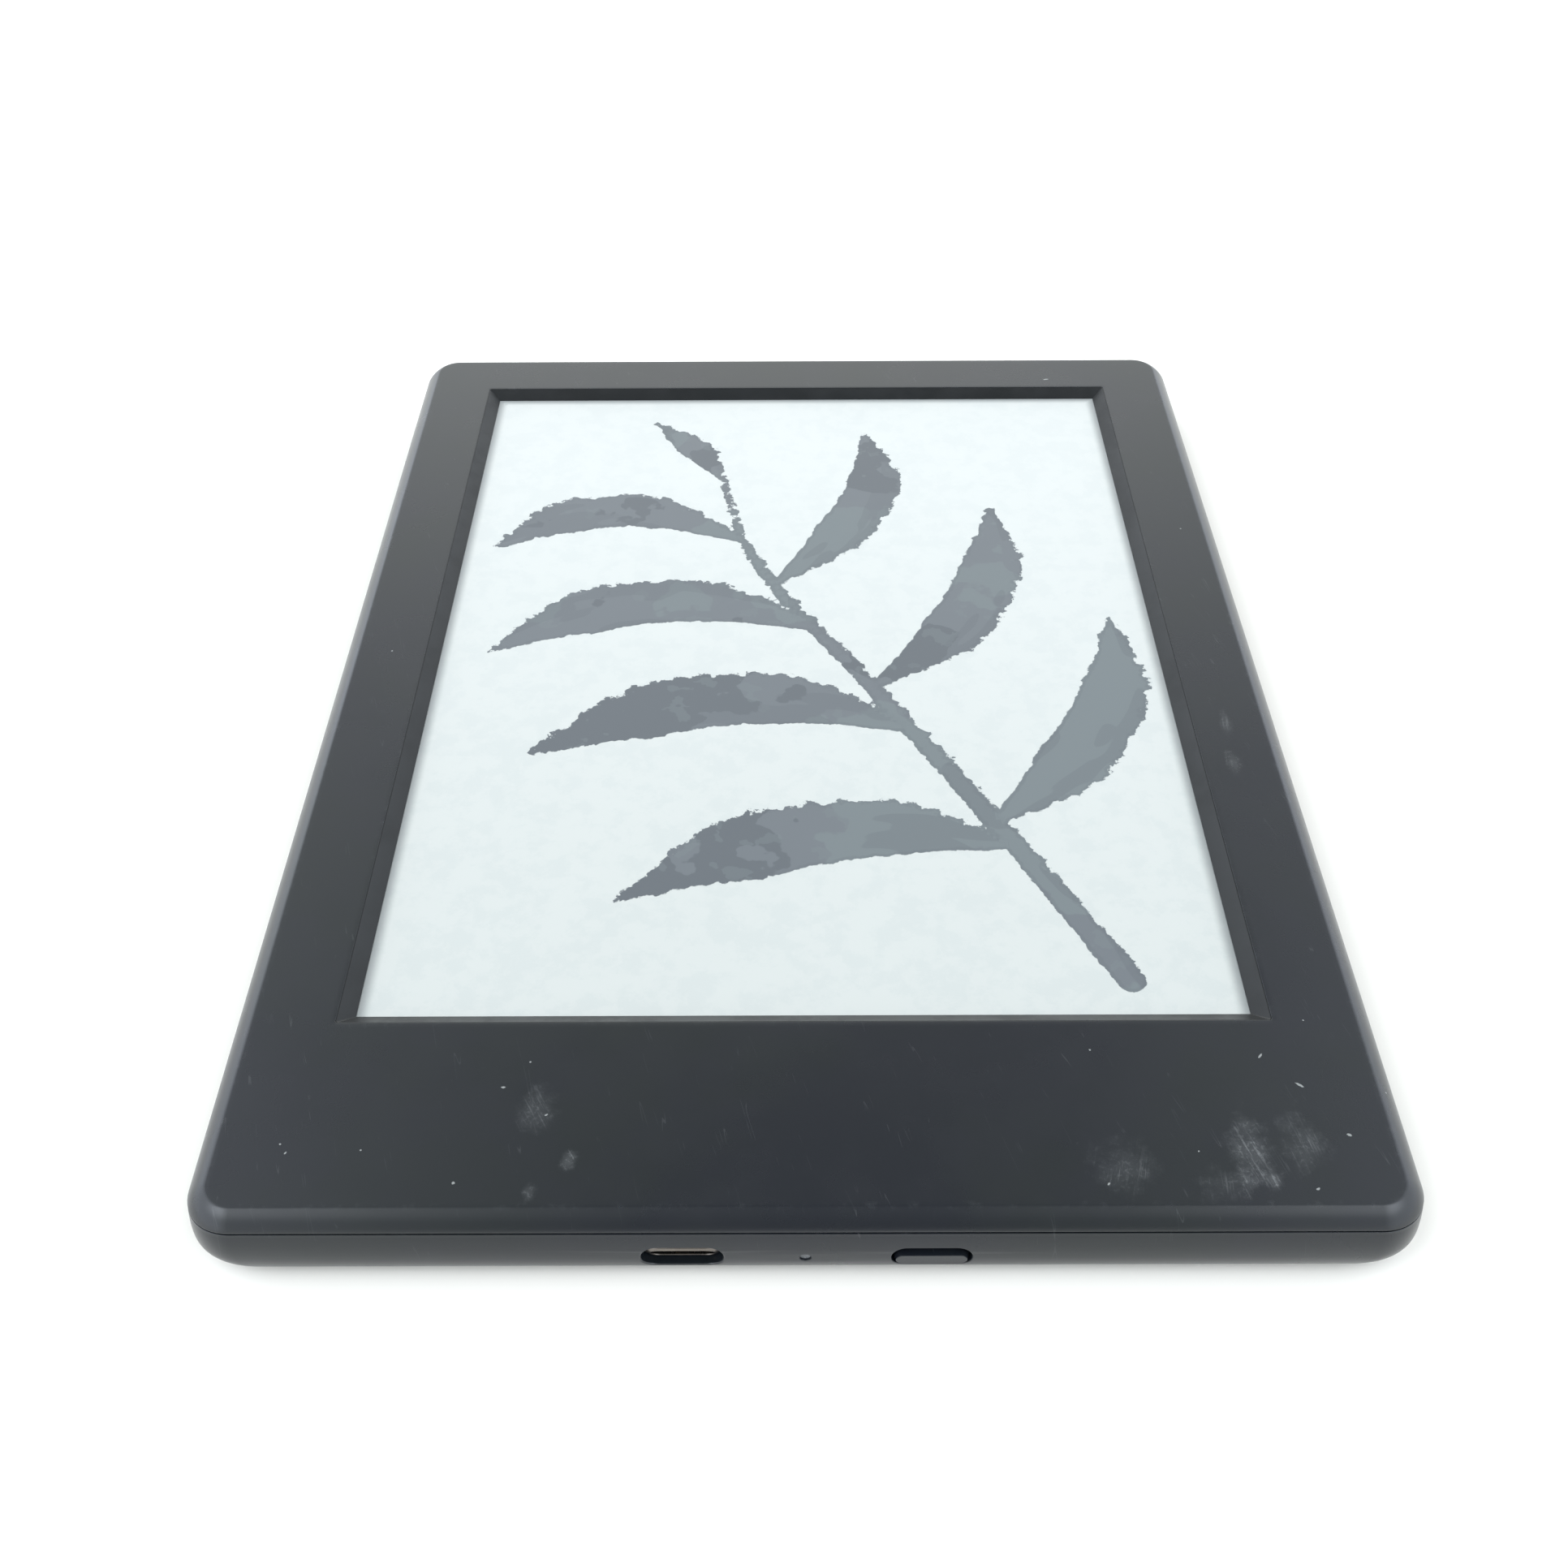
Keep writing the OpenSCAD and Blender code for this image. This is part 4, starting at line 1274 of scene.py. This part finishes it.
@dataclass
class Screen:
    """The display's front film, with the painting held as attributes of its grid."""

    pitch: float = 0.62

    def build(self) -> bpy.types.Object:
        """Builds the film as a closed slab whose top is a fine grid.

        Returns:
            The film.
        """
        low, high = node_box("display_front_sheet")
        across, along = (max(int((high[k] - low[k]) / self.pitch), 2) + 1 for k in (0, 1))
        x, y = np.linspace(low[0], high[0], across), np.linspace(low[1], high[1], along)
        gx, gy = np.meshgrid(x, y)
        top = np.column_stack([gx.ravel(), gy.ravel(), np.full(gx.size, high[2])])
        faces = loft_faces(along, across, False).reshape(along - 1, across, 4)[:, :-1].reshape(-1, 4)
        rim = np.concatenate(
            [
                np.arange(across),
                np.arange(1, along) * across + across - 1,
                (along - 1) * across + np.arange(across - 2, -1, -1),
                np.arange(along - 2, 0, -1) * across,
            ]
        )
        under = top[rim].copy()
        under[:, 2] = low[2]
        n, m = len(top), len(rim)
        step, after = np.arange(m), (np.arange(m) + 1) % m
        sides = np.column_stack([rim, n + step, n + after, rim[after]])
        mesh = bpy.data.meshes.new("ink_screen")
        every = faces.tolist() + sides.tolist() + [list(range(n + m - 1, n - 1, -1))]
        points = np.vstack([top, under])
        mesh.from_pydata((points * MM).tolist(), [], every)
        self.paint(mesh, points)
        mesh.update()
        made = bpy.data.objects.new("ink_screen", mesh)
        bpy.context.scene.collection.objects.link(made)
        return made

    def paint(self, mesh: bpy.types.Mesh, points: np.ndarray) -> None:
        """Writes the painting into the mesh as attributes.

        For each point of the film, the nearest brush position of every stroke gives the distance
        inside the stroke (half width less distance), and the stroke that it lies deepest in gives
        the dryness and the place along and across.

        Args:
            mesh: the film's mesh.
            points: its vertices in millimetres.
        """
        flat = points[:, :2]
        inside = np.full(len(flat), -50.0)
        dry = np.zeros(len(flat))
        place = np.zeros((len(flat), 3))
        for number, stroke in enumerate(LEAF_SPRIG):
            spine, widths, way = stroke.sample()
            gap = flat[:, None, :] - spine[None, :, :]
            depth = widths[None, :] - np.linalg.norm(gap, axis=2)
            best = depth.argmax(axis=1)
            rows = np.arange(len(flat))
            deep, off = depth[rows, best], gap[rows, best]
            run = np.concatenate([[0], np.cumsum(np.linalg.norm(np.diff(spine, axis=0), axis=1))])
            head = way[best]
            ahead = (off * head).sum(axis=1)
            across = off[:, 1] * head[:, 0] - off[:, 0] * head[:, 1]
            win = deep > inside
            inside = np.where(win, deep, inside)
            share = best / (len(spine) - 1)
            dryness = stroke.dry[0] + (stroke.dry[1] - stroke.dry[0]) * share
            dry = np.where(win, dryness, dry)
            local = np.column_stack([run[best] + ahead, across, np.full(len(flat), number * 9.0)])
            place[win] = local[win]
        # Distance in from the picture's left, right and far edges, which the film's material uses for its
        # painted shadow of the frame.
        rect = PICTURE.rect
        sides = rect.half_w - np.abs(flat[:, 0] - rect.centre_x)
        border = np.minimum(sides, rect.centre_y + rect.half_l - flat[:, 1])
        numbers = {"inside": inside, "dry": dry, "border": border}
        for name, values in numbers.items():
            made = mesh.attributes.new(name, "FLOAT", "POINT")
            made.data.foreach_set("value", values.astype(np.float32))
        made = mesh.attributes.new("stroke", "FLOAT_VECTOR", "POINT")
        made.data.foreach_set("vector", place.astype(np.float32).ravel())


@dataclass
class LightGuide:
    """The dark see-through frame between the screen and the case, with its inward slope."""

    foot_width: float = 0.08
    crown_round: float = 0.12

    def build(self) -> bpy.types.Object:
        """Builds the guide as rings carried round the picture: slope, flange and skirt.

        Returns:
            The guide.
        """
        low, high = node_box("ir_light_guide")
        base, top = node_box("display_front_sheet")[1][2], high[2]
        rect = PICTURE.rect
        far = (high[0] - low[0]) / 2 - rect.half_w
        r = self.crown_round
        path = [(0.0, base), (0.0, base + self.foot_width)]
        path += fillet([1.6 - 1.2 * r, top - 0.75 * r], [1.6 - r / 2, top], [1.6, top]).tolist()
        path += [(1.64, top), (1.64, base + 0.28), (far, base + 0.28)]
        path += [(far, low[2]), (far - 0.7, low[2]), (far - 0.7, base)]
        rings = [rect.inset(-s, 0.05 + 0.15 * s).ring(z) for s, z in path]
        return Shell().loft(np.array(rings), closed=True).piece("light_guide", 25.0)


# ---------------------------------------------------------------- near edge


@dataclass
class Socket:
    """The charging socket's pressed steel shell, with a rolled lip at its mouth."""

    wall: float = 0.28
    lip: float = 0.4
    lean: float = 0.85
    mouth: tuple[float, float] = (6.1, 1.96)
    bottom_gap: float = 0.12
    throat: float = 1.6

    def build(self) -> bpy.types.Object:
        """Builds the shell as slot rings carried along Y, outside and then back along the inside.

        Over the lip the slot grows from the mouth's size to the full one as a quarter circle does.

        Returns:
            The shell.
        """
        low, high = node_box("usb_shell")
        width, height = FITTINGS.socket_shell
        middle = (low[0] + high[0]) / 2
        floor = FITTINGS.height - height / 2
        lean = np.linspace(0.0, math.pi / 2, 9)
        rings = []
        front = low[1] + 0.02
        for a in lean:
            tall = self.mouth[1] + (height - self.bottom_gap - self.mouth[1]) * math.sin(a)
            wide = self.mouth[0] + (width - self.mouth[0]) * math.sin(a)
            bottom = floor + self.bottom_gap * (1 - math.sin(a))
            loop = standing_slot(middle, bottom, wide, tall, front + self.lip * (1 - math.cos(a)))
            rings.append(self.leaned(loop))
        rings.append(standing_slot(middle, floor, width, height, high[1]))
        w = self.wall
        for depth in (high[1], front + self.throat):
            rings.append(standing_slot(middle, floor + w, width - 2 * w, height - 2 * w, depth))
        tall, wide = self.mouth[1] - 0.16, self.mouth[0] - 0.16
        loop = standing_slot(middle, floor + self.bottom_gap + 0.08, wide, tall, front + 0.06)
        rings.append(self.leaned(loop))
        return Shell().loft(np.array(rings), closed=True).piece("socket_shell")

    def leaned(self, loop: np.ndarray) -> np.ndarray:
        """A ring leaned back: its depth grows in step with the drop below its highest point.

        Args:
            loop: the ring's points.

        Returns:
            The moved points.
        """
        drop = loop[:, 2].max() - loop[:, 2]
        out = loop.copy()
        out[:, 1] += self.lean * drop / drop.max()
        return out


@dataclass
class Button:
    """The power button's cap: a flat face, a long slope on top and a flange inside."""

    face_height: float = 1.62
    face_width: float = 6.6
    slope: float = 1.05
    rise: float = 0.10
    lean: float = 0.12
    lean_top: float = 4.15
    sink: float = 0.12

    def build(self) -> bpy.types.Object:
        """Builds the cap as slot rings carried along Y.

        From the crease at the face's upper edge the top rises as a flat arc to the cap's full
        height, while the bottom only rounds over.

        Returns:
            The cap.
        """
        low, high = node_box("power_button")
        middle, centre = (low[0] + high[0]) / 2, FITTINGS.height
        full_w, full_h = FITTINGS.button_cap
        bottom = centre - full_h / 2 - self.sink
        front = low[1]
        rings, worn = [], []
        share = np.linspace(0, 1, 9)
        for t in np.concatenate([[-0.05], share]):
            s = max(t, 0.0)
            rise = math.sin(s * math.pi / 2 * 0.92) / math.sin(math.pi / 2 * 0.92)
            drop = 0.1 * (1 - min(s * 4, 1.0)) ** 2
            shrink = 0.06 if t < 0 else 0.0
            tall = self.face_height + self.rise * rise - drop - 2 * shrink
            wide = self.face_width + (full_w - self.face_width) * min(s * 2.2, 1.0) - 2 * shrink
            depth = front + (0.0 if t < 0 else 0.035) + self.slope * s
            loop = standing_slot(middle, bottom + drop + shrink, wide, tall, depth)
            below = np.clip((self.lean_top - loop[:, 2]) / 1.5, 0, 1)
            loop[:, 1] += self.lean * (1 - s) * below**1.5
            rings.append(loop)
            worn.append(0.5 if 0 <= t < 0.05 else 0.0)
        back = high[1]
        rings.append(standing_slot(middle, bottom, full_w, self.face_height + self.rise, back - 0.5))
        flange_w, flange_h = high[0] - low[0], high[2] - low[2]
        rings.append(standing_slot(middle, low[2], flange_w, flange_h, back - 0.5))
        rings.append(standing_slot(middle, low[2], flange_w, flange_h, back))
        worn.extend([0.0] * 3)
        return Shell().loft(np.array(rings), edge=np.array(worn)).piece("button_cap", 30.0)


@dataclass
class ChargeLens:
    """The light pipe's round rod with a domed end."""

    dome: float = 0.14

    def build(self) -> bpy.types.Object:
        """Builds the rod as circles along Y, shrinking over the dome as a circle's sine does.

        Returns:
            The lens.
        """
        low, high = node_box("light_pipe")
        middle = (low + high) / 2
        radius = (high[0] - low[0]) / 2
        turn = np.linspace(0, 2 * math.pi, 33)[:-1]
        lean = np.linspace(0.05, math.pi / 2, 8)
        rings = [(radius * math.sin(a), low[1] + self.dome * (1 - math.sin(a))) for a in lean]
        rings.append((radius, high[1]))
        loops = [
            np.column_stack([middle[0] + r * np.sin(turn), np.full(32, y), middle[2] - r * np.cos(turn)])
            for r, y in rings
        ]
        return Shell().loft(np.array(loops)).piece("charge_lens")


# ---------------------------------------------------------------- inside parts


@dataclass
class InsideFinishes:
    """Finishes of the CAD parts that stay as they are, by material slot."""

    effects: Effects

    def finishes(self) -> dict[str, object]:
        """One finish for each slot, whose name it has.

        Returns:
            The finishes by slot.
        """
        wires = node_box("battery_wires")
        span = (float(wires[0][0]), float(wires[1][0]))
        steel, tin = (0.155, 0.138, 0.125), (0.70, 0.70, 0.69)
        rows = (
            PlainFinish("panel_glass", (0.10, 0.11, 0.115), 0.15, 900.0, 0.002),
            PlainFinish("chip_epoxy", (0.012, 0.012, 0.014), 0.55, 7000.0, 0.01),
            PlainFinish("switch_housing", (0.02, 0.02, 0.022), 0.4, 4000.0, 0.006),
            BoardFinish("circuit_board"),
            BoardFinish(
                "flex_film", (0.30, 0.12, 0.02), (0.42, 0.20, 0.05), pitch=0.5, via_share=0
            ),
            PlainFinish("connector_plastic", (0.55, 0.52, 0.44), 0.42, 5000.0, 0.005),
            PlainFinish("latch_plastic", (0.015, 0.015, 0.016), 0.38, 5000.0, 0.005),
            Crinkled("adhesive_tape", (0.03, 0.03, 0.032), 0.5, 0.0, 500.0, 0.02),
            Metal("cast_frame", (0.46, 0.46, 0.47), 0.48, (0.3, 0.3, 0.3), 2600.0, 0.6, 0.03),
            Metal("screw_steel", (0.20, 0.20, 0.21), 0.32, (0.05, 0.05, 0.05), 8000.0),
            Metal("shield_metal", tin, 0.26, (0.42, 0.41, 0.38), 7000.0, 1.57),
            PlainFinish("inductor_ferrite", (0.045, 0.045, 0.048), 0.7, 3500.0, 0.02),
            PlainFinish("capacitor_ceramic", (0.32, 0.20, 0.11), 0.35, 6000.0, 0.004),
            Metal("crystal_can", (0.74, 0.73, 0.70), 0.2, (0.5, 0.48, 0.42), 6000.0),
            BoardFinish(
                "wireless_board", (0.006, 0.012, 0.05), (0.012, 0.03, 0.11), pitch=0.5
            ),
            Metal("antenna_metal", (0.83, 0.62, 0.36), 0.25, (0.4, 0.28, 0.15), 6000.0),
            Metal("spring_metal", (0.80, 0.72, 0.52), 0.22, (0.45, 0.38, 0.25), 9000.0),
            Metal("socket_metal", steel, 0.28, (0.40, 0.37, 0.32), 9000.0, 1.57),
            PlainFinish("tongue_plastic", (0.012, 0.012, 0.013), 0.45, 6000.0, 0.006),
            Metal("contact_gold", (0.83, 0.60, 0.25), 0.22, (0.5, 0.33, 0.12), 9000.0, 1.57),
            Clear("led_lens", (0.85, 0.80, 0.55), 0.1, 0.4),
            Clear("light_pipe_clear", (0.20, 0.21, 0.22), 0.22, 0.2),
            Clear("emitter_lens", (0.20, 0.16, 0.30), 0.1, 0.5),
            Clear("detector_lens", (0.04, 0.03, 0.05), 0.12, 0.2),
            PlainFinish("plunger_plastic", (0.45, 0.44, 0.40), 0.4, 5000.0, 0.005),
            Crinkled("battery_foil", (0.55, 0.56, 0.57), 0.32, 0.75, 160.0, 0.25),
            WireFinish("wire_sleeve", span),
            Crinkled("foam", (0.035, 0.035, 0.037), 0.9, 0.0, 1600.0, 0.2, True),
        )
        return {row.name: row for row in rows}

    def dress(self) -> dict[str, bpy.types.Material]:
        """Gives every shown CAD part its slot's material.

        Returns:
            The materials by slot.
        """
        built = {slot: finish.build(self.effects) for slot, finish in self.finishes().items()}
        for name, piece in frame["nodes"].items():
            if not piece.hide_render:
                slot = slot_of(name)
                dress(piece, built[slot])
                LOG.info("%s wears %s", name, slot)
        return built


def slot_of(node: str) -> str:
    """Material slot that the record gives a node."""
    return {part["node"]: part["material_slot"] for part in frame["record"]["subparts"]}[node]


# ---------------------------------------------------------------- stage


@dataclass
class Studio:
    """Plain pale floor, soft light and the camera."""

    camera_mm: tuple[float, float, float] = (-1.47, -170.18, 144.67)
    camera_rad: tuple[float, float, float] = (0.833960, 0.003952, -0.000623)
    lens: float = 40.247
    bright: float = 2.2
    dim: float = 0.24
    table_near: float = -122.0
    behind: float = 4.2

    def build(self) -> None:
        """Builds the camera, floor and sky."""
        self.camera()
        self.floor()
        self.sky()
        bpy.context.scene.view_settings.view_transform = "Standard"

    def camera(self) -> None:
        """Camera at the viewing angle."""
        data = bpy.data.cameras.new("camera")
        data.lens, data.sensor_width = self.lens, 36.0
        data.clip_start, data.clip_end = 0.005, 20.0
        made = bpy.data.objects.new("camera", data)
        made.location = [v * MM for v in self.camera_mm]
        made.rotation_euler = self.camera_rad
        bpy.context.scene.collection.objects.link(made)
        bpy.context.scene.camera = made

    def floor(self) -> None:
        """White table top."""
        mesh = bpy.data.meshes.new("table")
        near, far = self.table_near * MM, 2.5
        corners = [(-far, near, 0), (far, near, 0), (far, far, 0), (-far, far, 0)]
        mesh.from_pydata(corners, [], [(0, 1, 2, 3)])
        made = bpy.data.objects.new("table", mesh)
        bpy.context.scene.collection.objects.link(made)
        material, g, shader = new_material("table_white")
        shade = g.between(g.noise(g.place(), 8.0), 0.3, 0.7)
        g.put(g.mix(shade, (0.83, 0.80, 0.74), (0.84, 0.815, 0.755)), shader.inputs["Base Color"])
        shader.inputs["Roughness"].default_value = 0.6
        dress(made, material)

    def sky(self) -> None:
        """Soft surrounding light: bright at both sides and low at the far side, dim in between.

        The level rises from dim to bright with the sideways part of the direction, and with its part
        towards the far side.
        """
        world = bpy.data.worlds.new("studio")
        bpy.context.scene.world = world
        world.use_nodes = True
        g = Graph(world.node_tree)
        ground = world.node_tree.nodes["Background"]
        way = g.node("SeparateXYZ", {"Vector": g.node("TexCoord").outputs["Generated"]})
        side = g.between(g.math("ABSOLUTE", way.outputs[0]), 0.08, 0.60)
        low = g.between(way.outputs[1], 0.55, 1.0)
        share = g.math("MAXIMUM", side, low)
        level = g.math("MULTIPLY_ADD", share, self.bright - self.dim, self.dim)
        overhead = g.between(way.outputs[2], 0.35, 0.75)
        near = g.math("MULTIPLY", g.between(way.outputs[1], 0.10, -0.40), overhead)
        flank = g.between(g.math("ABSOLUTE", way.outputs[0]), 0.18, 0.55)
        level = g.math("MULTIPLY_ADD", g.math("MULTIPLY", near, flank), self.behind, level)
        level = g.math("MULTIPLY", level, g.between(way.outputs[0], -0.6, 0.6, 1.13, 0.95))
        seen = g.node("LightPath").outputs["Is Camera Ray"]
        level = g.node("Mix", {0: seen, 2: level, 3: 1.2}, data_type="FLOAT").outputs[0]
        tint = g.mix(side, (0.97, 1.0, 0.985), (0.86, 0.92, 1.0))
        g.put(tint, ground.inputs["Color"])
        g.put(level, ground.inputs["Strength"])


def show(piece: bpy.types.Object, body: str, node: str) -> bpy.types.Object:
    """Lets a piece ride on a body in place of a CAD node, and hides that node.

    Args:
        piece: the detailed piece.
        body: the body that it rides on.
        node: the CAD node that it stands for.

    Returns:
        The piece.
    """
    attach(piece, body)
    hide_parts(node)
    LOG.info("%s stands for %s: %d faces", piece.name, node, len(piece.data.polygons))
    return piece


def main() -> None:
    """Builds the studio, the case, the screen, the near edge and the finishes."""
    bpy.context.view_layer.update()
    Studio().build()
    effects = Effects()
    front = show(FrontBezel().build(), BODY, "front_bezel")
    back = show(RearCover().build(), BODY, "rear_cover")
    guide = show(LightGuide().build(), BODY, "ir_light_guide")
    film = show(Screen().build(), BODY, "display_front_sheet")
    socket = show(Socket().build(), BODY, "usb_shell")
    cap = show(Button().build(), "button", "power_button")
    lens = show(ChargeLens().build(), BODY, "light_pipe")
    inside = InsideFinishes(effects).dress()
    dress(front, CasePlastic("front_plastic", rubs=FRONT_RUBS, specks=FRONT_SPECKS).build(effects))
    dress(back, CasePlastic("back_plastic", dust_share=0.05).build(effects))
    dress(cap, CasePlastic("button_plastic", roughness=0.24, dust_share=0.02).build(effects))
    dark = PlainFinish("dark_guide", (0.0065, 0.0078, 0.0085), 0.36, 3000.0, 0.003, specular=0.32)
    dress(guide, dark.build(effects))
    dress(film, InkFilm().build(effects))
    dress(socket, inside["socket_metal"])
    dress(lens, inside["light_pipe_clear"])


if __name__ == "__main__":
    logging.basicConfig(level=logging.INFO, format="%(name)s: %(message)s")
    main()
